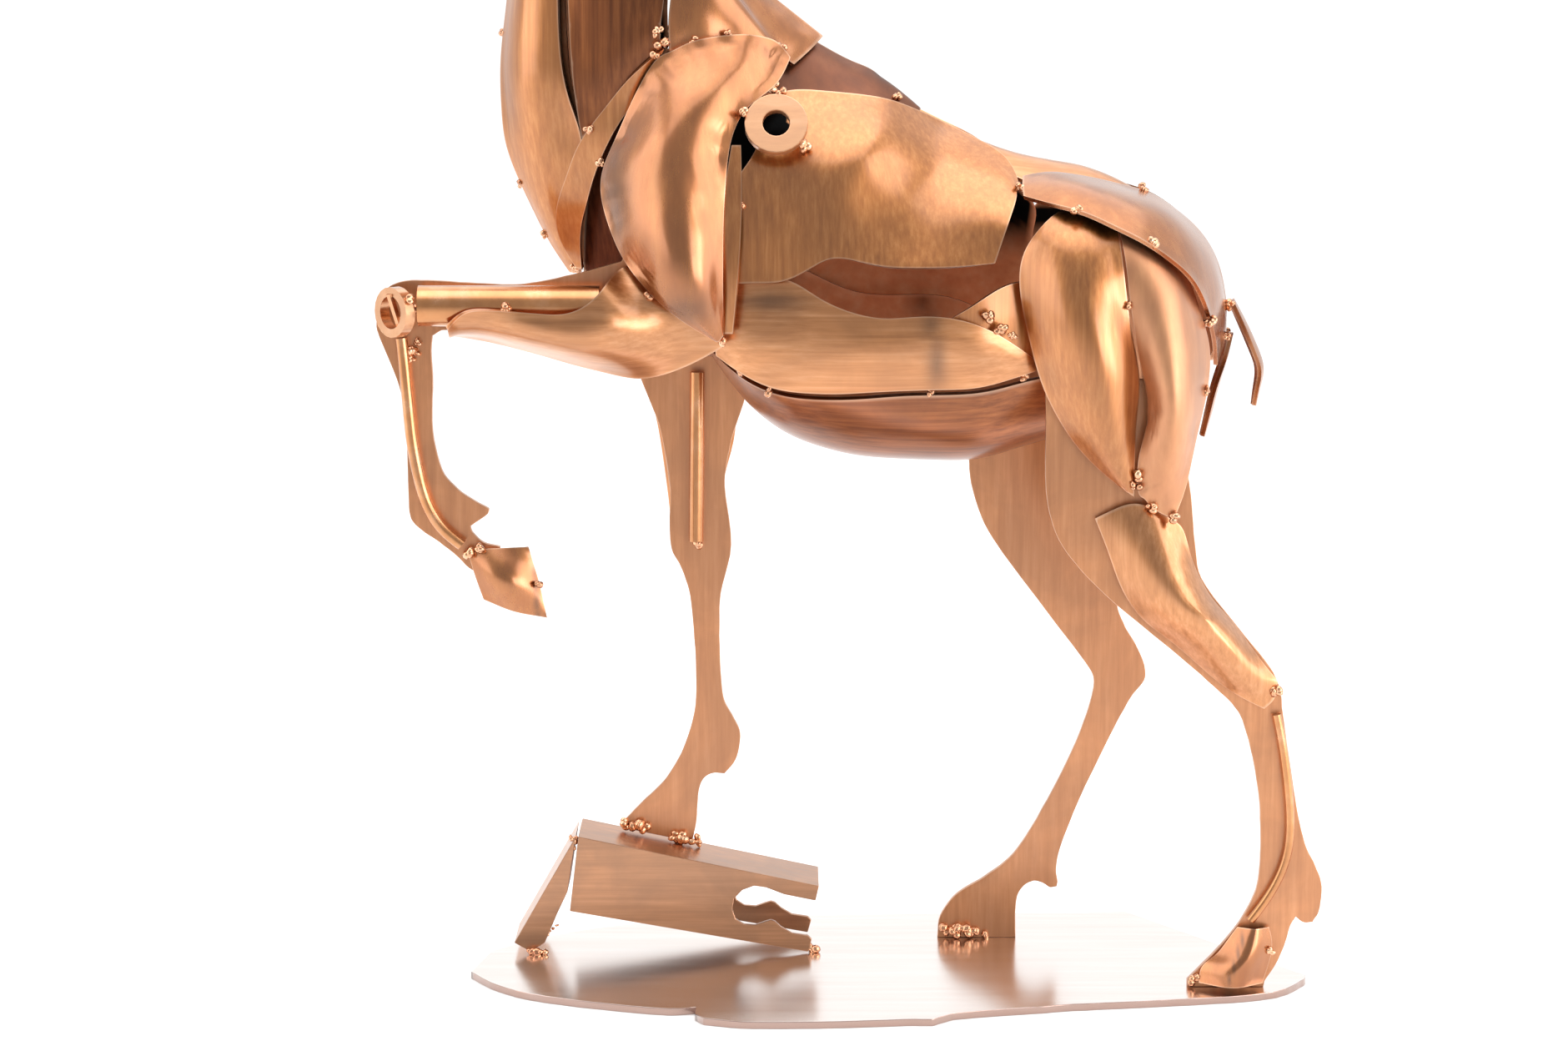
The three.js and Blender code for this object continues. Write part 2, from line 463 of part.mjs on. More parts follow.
add("belly_keel", sheet({
  top: keelNear,
  bottom: keelNear.map(([x, y, z]) => [x, -y, z]),
  left: [[-38.5, -19.5, 173.6], [-38.5, 0, 170.6], [-38.5, 19.5, 173.6]],
  right: [[56, -21, 167], [56.6, -13, 152.6], [57, 0, 148.5], [56.6, 13, 152.6], [56, 21, 167]],
  swell: [0, 0, -8.5],
}, 9, 5), COPPER.dark);
add("left_flank_patch", sheet({
  top: [[25, -28.8, 182.5], [31, -28.7, 186], [36.5, -27.4, 189.5], [41.5, -26, 191.4], [47, -25, 192]],
  bottom: [[25, -28.8, 178], [35.5, -27.4, 175], [42, -24.8, 172.5], [47, -23.4, 170.5]],
  left: [[25, -28.8, 182.5], [25, -28.8, 178]],
  right: [[47, -25, 192], [47, -24.4, 181], [47, -23.4, 170.5]],
}, 5, 4), COPPER.dark);
const saddleEdge = [[-28, -13.5, 242], [-19, -12.6, 240], [-8, -12.6, 238], [4.5, -11, 236.6],
  [13, -6.8, 234.4], [17, -3.5, 233.2]];
add("back_saddle_sheet", sheet({
  top: saddleEdge.map(([x, y, z]) => [x, -y, z]),
  bottom: saddleEdge,
  left: [[-28, 13.5, 242], [-27, 8, 253], [-26, 0, 263], [-27, -8, 253], [-28, -13.5, 242]],
  right: [[17, 3.5, 233.2], [17.6, 0, 235.6], [17, -3.5, 233.2]],
}, 7, 6), COPPER.dark);
const spineEdge = [[29, -3.2, 226.6], [36, -6.6, 222], [43, -10.4, 217.8], [51, -12, 215.4],
  [61, -11, 213.8],
  [71.5, -7.5, 211.4], [80, -4.5, 208.2]];
add("spine_sheet", sheet({
  top: spineEdge.map(([x, y, z]) => [x, -y, z]),
  bottom: spineEdge,
  left: [[29, 3.2, 226.6], [28.4, 0, 228.8], [29, -3.2, 226.6]],
  right: [[80, 4.5, 208.2], [80.8, 0, 210.4], [80, -4.5, 208.2]],
  swell: [0, 0, 4.6],
}, 8, 4), COPPER.dark);

// Shoulders
const shoulder = {
  top: [[-52.4, -25.2, 248.4], [-49.5, -25, 250.4], [-42.5, -24.4, 253.8], [-33.5, -23, 255.4],
    [-26.5, -20.5, 255.4], [-20, -17, 253.2], [-17, -17.5, 249.6]],
  right: [[-17, -17.5, 249.6], [-19.5, -21.5, 244.5], [-22.6, -25, 241], [-27, -28, 238],
    [-30.6, -30.5, 234],
    [-32.6, -33, 227], [-34, -35.6, 214], [-34.4, -37.5, 197], [-34.4, -36, 178.6]],
  bottom: [[-37, -35, 177.4], [-35.7, -35.6, 177], [-34.4, -36, 178.6]],
  left: [[-52.4, -25.2, 248.4], [-57.6, -25.6, 239.5], [-63.6, -25.6, 226], [-66.2, -25.6, 219],
    [-66, -26.4, 212], [-63.6, -28.6, 205.4], [-58.6, -33.4, 195.4], [-51.6, -37.6, 188.4],
    [-43, -37.4, 181], [-37, -35, 177.4]],
  swell: [0, -9, 0],
};
add("left_shoulder_shell", sheet(shoulder, 8, 8), COPPER.light);
add("right_shoulder_shell", mirrored(sheet(shoulder, 5, 6)), COPPER.dark);
add("left_shoulder_strip", sheet({
  top: [[-32.2, -31, 227.5], [-29.8, -30.6, 227.5]],
  bottom: [[-34.6, -34.2, 179], [-32, -34.6, 179]],
  left: [[-32.2, -31, 227.5], [-34.2, -33.6, 214], [-35, -35.4, 198], [-34.6, -34.2, 179]],
  right: [[-29.8, -30.6, 227.5], [-29.6, -34, 212], [-30.6, -36.4, 194], [-32, -34.6, 179]],
}, 2, 6), COPPER.mid);
const washerAxis = [0, -0.9, 0.43];
const shoulderWasher = ring([-20.7, -31.5, 232.8], washerAxis,
  WASHER_OUTER_RADIUS * share, WASHER_INNER_RADIUS * share, WASHER_THICKNESS * share);
add("left_shoulder_washer", shoulderWasher, COPPER.light, 0.3);

// Neck, closed up to the head
const band = {
  left: [[-49.7, -24, 251.9], [-58.5, -23.6, 244.6], [-67.3, -21, 234], [-71.8, -19.5, 228],
    [-75.8, -16, 218.5], [-79, -11.5, 207.5],
    [-76.6, -8.5, 198], [-73.8, -7, 193.5]],
  right: [[-51.8, -22.4, 247.2], [-56.5, -22.2, 240], [-62.6, -22, 231], [-67.5, -19, 221],
    [-70.5, -15.5, 211.5], [-72.5, -11.5, 203],
    [-72.4, -8, 193.5]],
  top: [[-49.7, -24, 251.9], [-51.8, -22.4, 247.2]],
  bottom: [[-73.8, -7, 193.5], [-72.4, -8, 193.5]],
};
add("left_neck_band", sheet(band, 2, 10), COPPER.light);
add("right_neck_band", mirrored(sheet(band, 1, 8)), COPPER.mid);
const breast = {
  top: [[-76.4, -1.2, 299.4], [-75.6, -6, 300.6], [-73.4, -9, 305]],
  left: [[-76.4, -1.2, 299.4], [-83.4, -1.2, 292], [-89.6, -1.2, 280], [-92, -1.2, 264],
    [-93.8, -1.2, 248], [-93.8, -1.2, 237.5], [-92.6, -1.2, 226],
    [-89, -1.2, 216], [-84.8, -1.2, 207], [-79.8, -1.2, 197.5], [-76, -1.2, 192]],
  right: [[-73.4, -9, 305], [-76.2, -12.4, 292], [-77.4, -15, 278], [-77.6, -16, 264.5],
    [-77, -16.5, 250], [-75.2, -16.6, 240], [-71.8, -14.8, 228], [-72, -13.2, 220], [-74.6, -9.4, 209],
    [-74.8, -6, 199], [-73.4, -4, 192]],
  bottom: [[-76, -1.2, 192], [-73.4, -4, 192]],
  swell: [-2, -2.5, 0],
};
add("left_breast_shell", sheet(breast, 4, 12), COPPER.mid);
add("right_breast_shell", mirrored(sheet(breast, 3, 9)), COPPER.mid);
const neckSide = {
  top: [[-72, -9.6, 306.6], [-67, -10.8, 314], [-62.6, -10, 321.6]],
  left: [[-72, -9.6, 306.6], [-74.6, -13, 292], [-75.2, -15.8, 278], [-74.9, -16.8, 264.5],
    [-74.4, -17.4, 252.5], [-73.6, -17.6, 242], [-71.6, -17.2, 228.5]],
  right: [[-62.6, -10, 321.6], [-58, -14, 300], [-49.5, -20, 272], [-50.6, -22.4, 258],
    [-50.6, -21.4, 248.8]],
  bottom: [[-71.6, -17.2, 228.5], [-65.6, -18.6, 233.6], [-58, -20.8, 243], [-50.6, -21.4, 248.8]],
  swell: [0, -2, 0],
};
add("left_neck_side_shell", sheet(neckSide, 5, 8), COPPER.mid);
add("right_neck_side_shell", mirrored(sheet(neckSide, 4, 6)), COPPER.mid);
const withers = {
  top: [[-61.2, -9.6, 322.6], [-59.6, -6, 326], [-59.2, -1.2, 327.6]],
  left: [[-61.2, -9.6, 322.6], [-56.6, -13.6, 300], [-48, -19.8, 272], [-48.6, -22.6, 258],
    [-48.4, -22.2, 251]],
  right: [[-59.2, -1.2, 327.6], [-54, -1.2, 306], [-46, -1.2, 289], [-36, -1.2, 277], [-21, -1.2, 264.5],
    [-14.5, -1.2, 259.5], [-8.4, -1.6, 254.6]],
  bottom: [[-48.4, -22.2, 251], [-42.5, -21.6, 252], [-33.5, -19.8, 253.2], [-26.5, -16.8, 253],
    [-20.5, -13.8, 250.4], [-16.9, -12.2, 247.4], [-12, -7.4, 251], [-8.4, -1.6, 254.6]],
  swell: [0, -2.5, 0],
};
add("left_withers_shell", sheet(withers, 7, 8), COPPER.mid);
add("right_withers_shell", mirrored(sheet(withers, 5, 6)), COPPER.dark);
add("left_chest_panel", sheet({
  top: [[-68, -14.5, 238], [-58, -18, 240]],
  bottom: [[-72, -5.4, 192], [-58, -13, 191]],
  left: [[-68, -14.5, 238], [-69.4, -13, 222], [-71.4, -8.4, 206], [-72, -5.4, 192]],
  right: [[-58, -18, 240], [-57, -18, 222], [-57, -17, 206], [-58, -13, 191]],
}, 2, 4), COPPER.dark);

// Head
const cheek = {
  top: [[-117.5, -3.6, 309.5], [-107, -4.6, 317], [-95, -5.6, 325], [-84, -7.4, 331.6], [-74, -8, 335],
    [-63, -5.6, 332]],
  bottom: [[-117.5, -3.6, 302.5], [-108, -4.8, 303.4], [-96, -6, 305.4], [-84, -8, 307],
    [-76, -9, 309.5], [-67, -8, 316]],
  left: [[-117.5, -3.6, 309.5], [-118.4, -4, 306], [-117.5, -3.6, 302.5]],
  right: [[-63, -5.6, 332], [-62.6, -9, 325], [-67, -8, 316]],
  swell: [0, -4.6, 0],
};
add("left_cheek_shell", sheet(cheek, 8, 5), COPPER.mid);
add("right_cheek_shell", mirrored(sheet(cheek, 7, 4)), COPPER.mid);
const browEdge = [[-119, -3.2, 310.6], [-107, -4.2, 318.6], [-95, -5.2, 326.6], [-84, -7, 333.4],
  [-74, -7.6, 336.8], [-64, -5, 334]];
add("brow_and_nose_sheet", sheet({
  top: browEdge.map(([x, y, z]) => [x, -y, z]),
  bottom: browEdge,
  left: [[-119, 3.2, 310.6], [-121, 0, 310.4], [-119, -3.2, 310.6]],
  right: [[-64, 5, 334], [-62.4, 0, 335], [-64, -5, 334]],
  swell: [0, 0, 2.2],
}, 9, 4), COPPER.light);
const jawEdge = [[-115.5, -3.2, 301], [-106, -4, 301.4], [-95, -5, 303.2], [-84, -6.6, 304.8],
  [-76, -7.4, 307]];
add("jaw_sheet", sheet({
  top: jawEdge,
  bottom: jawEdge.map(([x, y, z]) => [x, -y, z]),
  left: [[-115.5, -3.2, 301], [-117, 0, 299], [-115.5, 3.2, 301]],
  right: [[-76, -7.4, 307], [-75, 0, 303], [-76, 7.4, 307]],
  swell: [0, 0, -2.6],
}, 8, 4), COPPER.dark);
add("nose_cap", sheet({
  top: [[-120.9, 3.2, 309.2], [-121.8, 0, 309.4], [-120.9, -3.2, 309.2]],
  bottom: [[-119, 3, 301.6], [-120, 0, 301.4], [-119, -3, 301.6]],
  left: [[-120.9, 3.2, 309.2], [-121.2, 3.4, 305.5], [-119, 3, 301.6]],
  right: [[-120.9, -3.2, 309.2], [-121.2, -3.4, 305.5], [-119, -3, 301.6]],
  swell: [-1.6, 0, 0],
}, 4, 4), COPPER.dark);
const ear = {
  top: [[-70, -8.6, 336], [-68, -9, 334], [-65.4, -9.2, 331.8]],
  bottom: [[-47.6, -27, 343], [-47.2, -27.4, 342.4], [-46.8, -27.6, 341.8]],
  left: [[-70, -8.6, 336], [-58, -15, 342.4], [-52.6, -22, 345.5], [-47.6, -27, 343]],
  right: [[-65.4, -9.2, 331.8], [-53, -16.6, 332.4], [-49, -23, 335.5], [-46.8, -27.6, 341.8]],
  swell: [1.5, 1.5, -1.5],
};
add("left_ear", sheet(ear, 4, 5), COPPER.mid);
add("right_ear", mirrored(sheet(ear, 4, 5)), COPPER.mid);
const eyeProfile = [[0, -0.8], [EYE_RADIUS, -0.5], [EYE_RADIUS * 0.9, 0.6], [EYE_RADIUS * 0.5, 1.2],
  [0, 1.4]];
const eye = new THREE.LatheGeometry(eyeProfile.map((p) => new THREE.Vector2(...p)), 14);
eye.rotateX(Math.PI / 2).rotateZ(-0.16).translate(...toVector([-86, -13.9, 324.5]));
add("left_eye", eye, COPPER.dark, 0.2);
add("right_eye", mirrored(eye), COPPER.dark, 0.2);

// Antlers, each a curved beam with tapering tines
const beam = [[-72.4, -4.7, 339], [-64, -14, 352], [-50, -32, 376], [-42, -47, 406], [-48, -56, 438],
  [-62, -58, 464], [-74, -54, 484]];
const tines = [
  [[-66, -11, 348], [-84, -17, 353], [-97, -22, 366], [-103, -24, 384]],
  [[-56, -24, 365], [-74, -32, 374], [-85, -37, 390]],
  [[-43, -43, 397], [-62, -50, 408], [-72, -53, 426]],
  [[-46, -54, 432], [-37, -60, 450], [-38, -62, 470]],
];
let antler = solid(bar(beam, ANTLER_RADIUS, 1.1, 14, 7));
tines.forEach((tine) => {
  antler = antler.add(solid(bar(tine, TINE_RADIUS, 0.7, 4, 5)));
});
add("left_antler", geometryOf(antler), COPPER.light);
add("right_antler", mirrored(geometryOf(antler)), COPPER.light);

export default stag;
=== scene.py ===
# %% [markdown]
# # A stag in cut, hammered and welded sheet
# The real stag is a hollow skin of copper-coloured sheets, each hammered to a curve and tacked to its
# neighbours, on legs cut flat from plate. Each sheet could be sculpted by hand, but the solids of the part
# already hold every edge line. So this lesson grows the finished sheets out of those solids: it rounds
# them by subdivision, hammers them, and gives them brushed and heat-stained metal.

# %% Load the solids and the tools
import math
import bmesh
import bpy
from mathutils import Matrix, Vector, kdtree, noise


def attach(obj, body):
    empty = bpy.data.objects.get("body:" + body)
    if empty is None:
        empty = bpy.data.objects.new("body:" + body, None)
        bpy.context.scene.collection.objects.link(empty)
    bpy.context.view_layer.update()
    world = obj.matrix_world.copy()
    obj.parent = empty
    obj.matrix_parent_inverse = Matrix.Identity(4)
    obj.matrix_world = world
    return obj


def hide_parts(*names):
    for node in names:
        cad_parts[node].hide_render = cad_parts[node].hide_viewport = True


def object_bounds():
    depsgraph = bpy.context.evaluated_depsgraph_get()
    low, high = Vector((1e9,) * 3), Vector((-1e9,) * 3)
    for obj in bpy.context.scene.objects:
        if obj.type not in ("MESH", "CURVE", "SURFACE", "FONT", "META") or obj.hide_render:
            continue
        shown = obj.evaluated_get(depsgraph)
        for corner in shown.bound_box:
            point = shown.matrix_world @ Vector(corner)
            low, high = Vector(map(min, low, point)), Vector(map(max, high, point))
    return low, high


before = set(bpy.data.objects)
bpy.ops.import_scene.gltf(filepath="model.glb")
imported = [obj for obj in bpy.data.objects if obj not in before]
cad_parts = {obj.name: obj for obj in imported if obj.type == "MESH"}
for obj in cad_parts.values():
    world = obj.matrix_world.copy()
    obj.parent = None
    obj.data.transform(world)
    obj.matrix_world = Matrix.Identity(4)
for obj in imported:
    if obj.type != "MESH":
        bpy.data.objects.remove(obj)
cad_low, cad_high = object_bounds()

MM = 0.001
scene = bpy.context.scene
print("solids:", len(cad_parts), "box:", [round(v, 4) for v in cad_high - cad_low])

# %% [markdown]
# ## The camera
# The picture was taken from the stag's left, a little above its back, with a long lens. The lens is kept
# long and the camera is tilted down rather than shifted, so that every other view stays straight too.

# %% Place the camera
camera_data = bpy.data.cameras.new("camera")
camera_data.lens, camera_data.sensor_width = 86, 36
camera = bpy.data.objects.new("camera", camera_data)
camera.location = Vector((-18.7, -1000, 282)) * MM
aim = Vector((-18.7, 0, 124)) * MM
camera.rotation_euler = (aim - camera.location).to_track_quat("-Z", "Y").to_euler()
camera_data.clip_start, camera_data.clip_end = 0.01, 100
scene.collection.objects.link(camera)
scene.camera = camera
print("camera distance", round((aim - camera.location).length, 3))

# %% [markdown]
# ## Metal that has been brushed and heated
# Copper-coloured sheet shows three things at once: fine streaks from the brush, brown clouds from heat
# and handling, and bright rims that are partly wear and partly painted highlight. Each is its own noise here,
# on the object's coordinates, so that a streak keeps its real width on every piece. The rims are an attribute
# that the sheets carry with them, and so is the painted shade in their hollows.

# %% Helpers for material nodes
def add_node(tree, kind, place=(0, 0), **settings):
    node = tree.nodes.new(kind)
    node.location = place
    for key, value in settings.items():
        if key in node.inputs:
            node.inputs[key].default_value = value
        else:
            setattr(node, key, value)
    return node


def ramp(tree, source, stops, place=(0, 0)):
    node = add_node(tree, "ShaderNodeValToRGB", place)
    while len(node.color_ramp.elements) < len(stops):
        node.color_ramp.elements.new(0.5)
    for element, (position, color) in zip(node.color_ramp.elements, stops):
        element.position = position
        element.color = color if len(color) == 4 else (*color, 1)
    tree.links.new(source, node.inputs["Fac"])
    return node.outputs["Color"]


def mix_color(tree, factor, first, second, mode="MIX", place=(0, 0)):
    node = add_node(tree, "ShaderNodeMix", place, data_type="RGBA", blend_type=mode)
    for socket, value in zip((node.inputs[0], node.inputs[6], node.inputs[7]), (factor, first, second)):
        if isinstance(value, bpy.types.NodeSocket):
            tree.links.new(value, socket)
        elif isinstance(value, (int, float)):
            socket.default_value = value
        else:
            socket.default_value = (*value, 1)
    return node.outputs[2]


def srgb(r, g, b):
    def linear(v):
        v /= 255
        return v / 12.92 if v <= 0.04045 else ((v + 0.055) / 1.055) ** 2.4
    return linear(r), linear(g), linear(b)


grey = lambda v: (v, v, v)

# %% The brushed and stained metal
LOW, MIDDLE, BRIGHT, PALE = srgb(170, 102, 46), srgb(187, 117, 56), srgb(205, 137, 76), srgb(238, 206, 178)
SHADED = srgb(112, 58, 22), srgb(140, 78, 36), srgb(166, 100, 52)


def copper(name, turn=(0, 0, 0), stretch=(900, 900, 20), tones=(LOW, MIDDLE, BRIGHT), cloud=38,
           stain=0.25, gloss=(0.24, 0.4), relief=0.2, rim=0.35, edge=PALE,
           lacquer=0.7, lacquer_gloss=0.2, glow=0.0):
    material = bpy.data.materials.new(name)
    material.use_nodes = True
    tree = material.node_tree
    tree.nodes.clear()
    output = add_node(tree, "ShaderNodeOutputMaterial", (1000, 0))
    shader = add_node(tree, "ShaderNodeBsdfPrincipled", (760, 0), Metallic=1.0)
    shader.inputs["Coat Roughness"].default_value = lacquer_gloss
    shader.inputs["Coat IOR"].default_value = 1.85
    tree.links.new(shader.outputs["BSDF"], output.inputs["Surface"])
    deep = tuple(v * 0.55 for v in tones[0])
    coordinates = add_node(tree, "ShaderNodeTexCoord", (-1100, 0))
    along = add_node(tree, "ShaderNodeMapping", (-900, 200), Rotation=turn, Scale=stretch)
    tree.links.new(coordinates.outputs["Object"], along.inputs["Vector"])
    streaks = add_node(tree, "ShaderNodeTexNoise", (-700, 200), Scale=1.0, Detail=5.0, Roughness=0.62)
    tree.links.new(along.outputs["Vector"], streaks.inputs["Vector"])
    clouds = add_node(tree, "ShaderNodeTexNoise", (-700, -60), Scale=cloud, Detail=4.0, Roughness=0.58,
                      Distortion=0.6)
    tree.links.new(coordinates.outputs["Object"], clouds.inputs["Vector"])
    specks = add_node(tree, "ShaderNodeTexNoise", (-700, -320), Scale=620.0, Detail=3.0, Roughness=0.7)
    tree.links.new(coordinates.outputs["Object"], specks.inputs["Vector"])
    base = ramp(tree, streaks.outputs["Fac"], [(0.28, tones[0]), (0.50, tones[1]), (0.74, tones[2])],
                (-420, 240))
    shade = ramp(tree, clouds.outputs["Fac"], [(0.38, grey(1)), (0.62, grey(0))], (-420, -60))
    amount = mix_color(tree, stain, grey(0), shade, place=(-160, -60))
    stained = mix_color(tree, amount, base, deep, place=(60, 160))
    # Painted shade: the dent attribute darkens the colour towards near black in hammer hollows and at listed
    # dark spots.
    dents = add_node(tree, "ShaderNodeAttribute", (-420, -520), attribute_name="dent")
    dented = mix_color(tree, dents.outputs["Fac"], stained, tuple(v * 0.12 for v in tones[0]),
                       place=(240, 120))
    # The rim attribute mixes in the edge colour: on the sheets partly wear and partly painted highlight on the
    # cut edges.
    rims = add_node(tree, "ShaderNodeAttribute", (-420, -700), attribute_name="rim")
    rim_wear_and_highlight = ramp(tree, rims.outputs["Fac"], [(0.35, grey(0)), (1.0, grey(rim))], (-160, -700))
    color = mix_color(tree, rim_wear_and_highlight, dented, edge, place=(420, 100))
    unlit = add_node(tree, "ShaderNodeAttribute", (-420, -880), attribute_name="unlit")
    color = mix_color(tree, unlit.outputs["Fac"], color, grey(0.002), place=(600, 100))
    tree.links.new(color, shader.inputs["Base Color"])
    # glow: the colour is also emitted, painted light that brightens the inner sides where no lamp reaches.
    if glow:
        tree.links.new(color, shader.inputs["Emission Color"])
        shader.inputs["Emission Strength"].default_value = glow
    coat = add_node(tree, "ShaderNodeMapRange", (240, -880))
    coat.inputs["To Min"].default_value, coat.inputs["To Max"].default_value = lacquer, 0.0
    tree.links.new(unlit.outputs["Fac"], coat.inputs["Value"])
    tree.links.new(coat.outputs["Result"], shader.inputs["Coat Weight"])
    rough = add_node(tree, "ShaderNodeMapRange", (240, -200))
    rough.inputs["To Min"].default_value, rough.inputs["To Max"].default_value = gloss
    tree.links.new(streaks.outputs["Fac"], rough.inputs["Value"])
    tree.links.new(rough.outputs["Result"], shader.inputs["Roughness"])
    height = mix_color(tree, 0.35, streaks.outputs["Fac"], specks.outputs["Fac"], place=(240, -420))
    bump = add_node(tree, "ShaderNodeBump", (500, -300), Strength=relief, Distance=0.00012)
    tree.links.new(height, bump.inputs["Height"])
    tree.links.new(bump.outputs["Normal"], shader.inputs["Normal"])
    return material


UPRIGHT, LENGTHWISE = (800, 800, 16), (16, 800, 800)
metals = {
    "upright": copper("brushed_upright", stretch=UPRIGHT),
    "lengthwise": copper("brushed_lengthwise", stretch=LENGTHWISE, stain=0.35,
                         tones=(srgb(184, 118, 64), srgb(204, 136, 80), srgb(222, 158, 106))),
    "leaning": copper("brushed_leaning", turn=(0, 0.15, 0), stretch=UPRIGHT),
    "downleg": copper("brushed_down_the_leg", turn=(0, -0.75, 0), stretch=UPRIGHT, stain=0.3,
                      tones=(srgb(184, 118, 64), srgb(204, 136, 80), srgb(222, 158, 106))),
    "smooth": copper("planished_sheet", stretch=(220, 220, 40),
                     tones=(srgb(162, 95, 43), srgb(175, 106, 51), srgb(190, 122, 64)),
                     gloss=(0.22, 0.32), relief=0.1),
    # Satin finish with its tones lightened as a painted highlight, for the broad glare on the rear thigh.
    "satin_painted_highlight": copper("satin_sheet_painted_highlight", stretch=(220, 220, 40),
                    tones=(srgb(188, 118, 64), srgb(200, 130, 74), srgb(214, 148, 92)),
                    gloss=(0.36, 0.48), relief=0.1, lacquer=1.0, lacquer_gloss=0.4),
    "saddle": copper("dark_back_sheet", stretch=(120, 120, 60),
                     tones=(srgb(92, 48, 24), srgb(112, 60, 31), srgb(132, 76, 42)),
                     stain=0.3, gloss=(0.34, 0.46), relief=0.1, lacquer=0.3, lacquer_gloss=0.3),
    "shaded": copper("dark_brushed_upright", stretch=UPRIGHT, tones=SHADED, stain=0.3, lacquer=0.35),
    "keel": copper("dark_brushed_lengthwise", stretch=LENGTHWISE, tones=SHADED, stain=0.4, lacquer=0.4),
    "plate": copper("cut_plate", turn=(0, 0.1, 0), stretch=(500, 500, 30),
                    tones=(srgb(180, 110, 60), srgb(198, 127, 75), srgb(215, 147, 97)), stain=0.4,
                    gloss=(0.32, 0.48), lacquer=0.4),
    "step": copper("folded_step", turn=(0, -0.17, 0), stretch=(20, 600, 600),
                   tones=(srgb(152, 92, 48), srgb(176, 112, 64), srgb(202, 138, 92)), stain=0.5, lacquer=0.35,
                   gloss=(0.26, 0.46)),
    "base": copper("base_sheet", stretch=(14, 260, 260),
                   tones=(srgb(240, 222, 212), srgb(246, 232, 224), srgb(250, 240, 234)),
                   cloud=12, stain=0.05, gloss=(0.17, 0.25), relief=0.08, rim=1.0, edge=srgb(128, 72, 40),
                   lacquer=1.0, lacquer_gloss=0.18),
    "bright": copper("bright_bar", stretch=(90, 90, 90), tones=(MIDDLE, BRIGHT, srgb(228, 172, 130)),
                     stain=0.35,
                     gloss=(0.2, 0.32), relief=0.06),
    "washer": copper("flat_washer", stretch=(60, 700, 60), tones=(MIDDLE, BRIGHT, srgb(222, 160, 114)),
                     stain=0.25,
                     gloss=(0.34, 0.48), relief=0.15, rim=0.5),
    "bead": copper("weld_bead", stretch=(260, 260, 260),
                   tones=(srgb(186, 118, 76), srgb(222, 160, 112), srgb(244, 204, 164)),
                   cloud=300, stain=0.4, gloss=(0.14, 0.3), relief=0.3, lacquer=0.8),
    "antler": copper("antler_bar", stretch=(220, 220, 60), stain=0.5, gloss=(0.3, 0.46), relief=0.5),
    # The lining's tones are raised and it glows faintly: oxide colour brightened with painted light from within
    # the body.
    "inside": copper("inner_oxide_painted_light", stretch=(200, 200, 200),
                     tones=(srgb(222, 142, 98), srgb(234, 160, 116), srgb(242, 180, 140)),
                     stain=0.4, gloss=(0.5, 0.7), rim=0.2, lacquer=0.0, glow=0.05),
    # Painted shade: a deep brown for the shaded chest panel.
    "painted_deep_shade": copper("shaded_panel", stretch=UPRIGHT,
                    tones=(srgb(60, 26, 14), srgb(84, 40, 22), srgb(104, 54, 32)),
                    gloss=(0.4, 0.55), lacquer=0.1),
    "eye": copper("dark_eye", stretch=(300, 300, 300),
                  tones=(srgb(20, 10, 6), srgb(34, 16, 10), srgb(60, 30, 20)),
                  gloss=(0.08, 0.16), relief=0.1, rim=0.1, lacquer=1.0),
}
print("metals:", ", ".join(metals))

# %% [markdown]
# ## From solid to sheet
# A solid comes as loose triangles, two for every patch of the sheet. Once the patches are whole again the
# sheet can be subdivided into a smooth surface, with its cut edges creased so that they stay square.
# In a regular patchwork two diagonals always meet in a straight line, so one sure diagonal leads to all
# the others, and nothing has to be guessed from the shape of a long thin patch.

# %% Read a solid and find its sides
SHARP = 0.9


def solid_mesh(node):
    mesh = bmesh.new()
    mesh.from_mesh(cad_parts[node].data)
    mesh.transform(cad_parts[node].matrix_world)
    bmesh.ops.remove_doubles(mesh, verts=mesh.verts, dist=2e-5)
    bmesh.ops.recalc_face_normals(mesh, faces=mesh.faces)
    return mesh


def is_sharp(edge):
    return edge.calc_face_angle(0) > SHARP


def sides_of(mesh):
    """The sides of a sheet, largest first: outside, inside, then the narrow cut edges."""
    seen, sides = set(), []
    for start in mesh.faces:
        if start in seen:
            continue
        side, queue = [], [start]
        seen.add(start)
        while queue:
            face = queue.pop()
            side.append(face)
            for edge in face.edges:
                if not is_sharp(edge):
                    for other in edge.link_faces:
                        if other not in seen:
                            seen.add(other)
                            queue.append(other)
        sides.append(side)
    return sorted(sides, key=lambda side: -sum(face.calc_area() for face in side))


# %% Put the patches of a sheet together again
def squareness(edge):
    """How far the two triangles at an edge are from one square patch, 0 for a rectangle."""
    a, b = edge.verts
    tips = [next(v for v in face.verts if v not in edge.verts) for face in edge.link_faces]
    ring = [a, tips[0], b, tips[1]]
    worst = 0.0
    for i in range(4):
        one, two = ring[i - 1].co - ring[i].co, ring[(i + 1) % 4].co - ring[i].co
        worst = max(worst, abs(one.angle(two, math.pi) - math.pi / 2))
    return worst


def around(vertex):
    """The edges at a vertex in turning order."""
    loop = vertex.link_loops[0]
    ring = []
    for _ in range(len(vertex.link_edges)):
        ring.append(loop.edge)
        loop = loop.link_loop_prev.link_loop_radial_next
    return ring


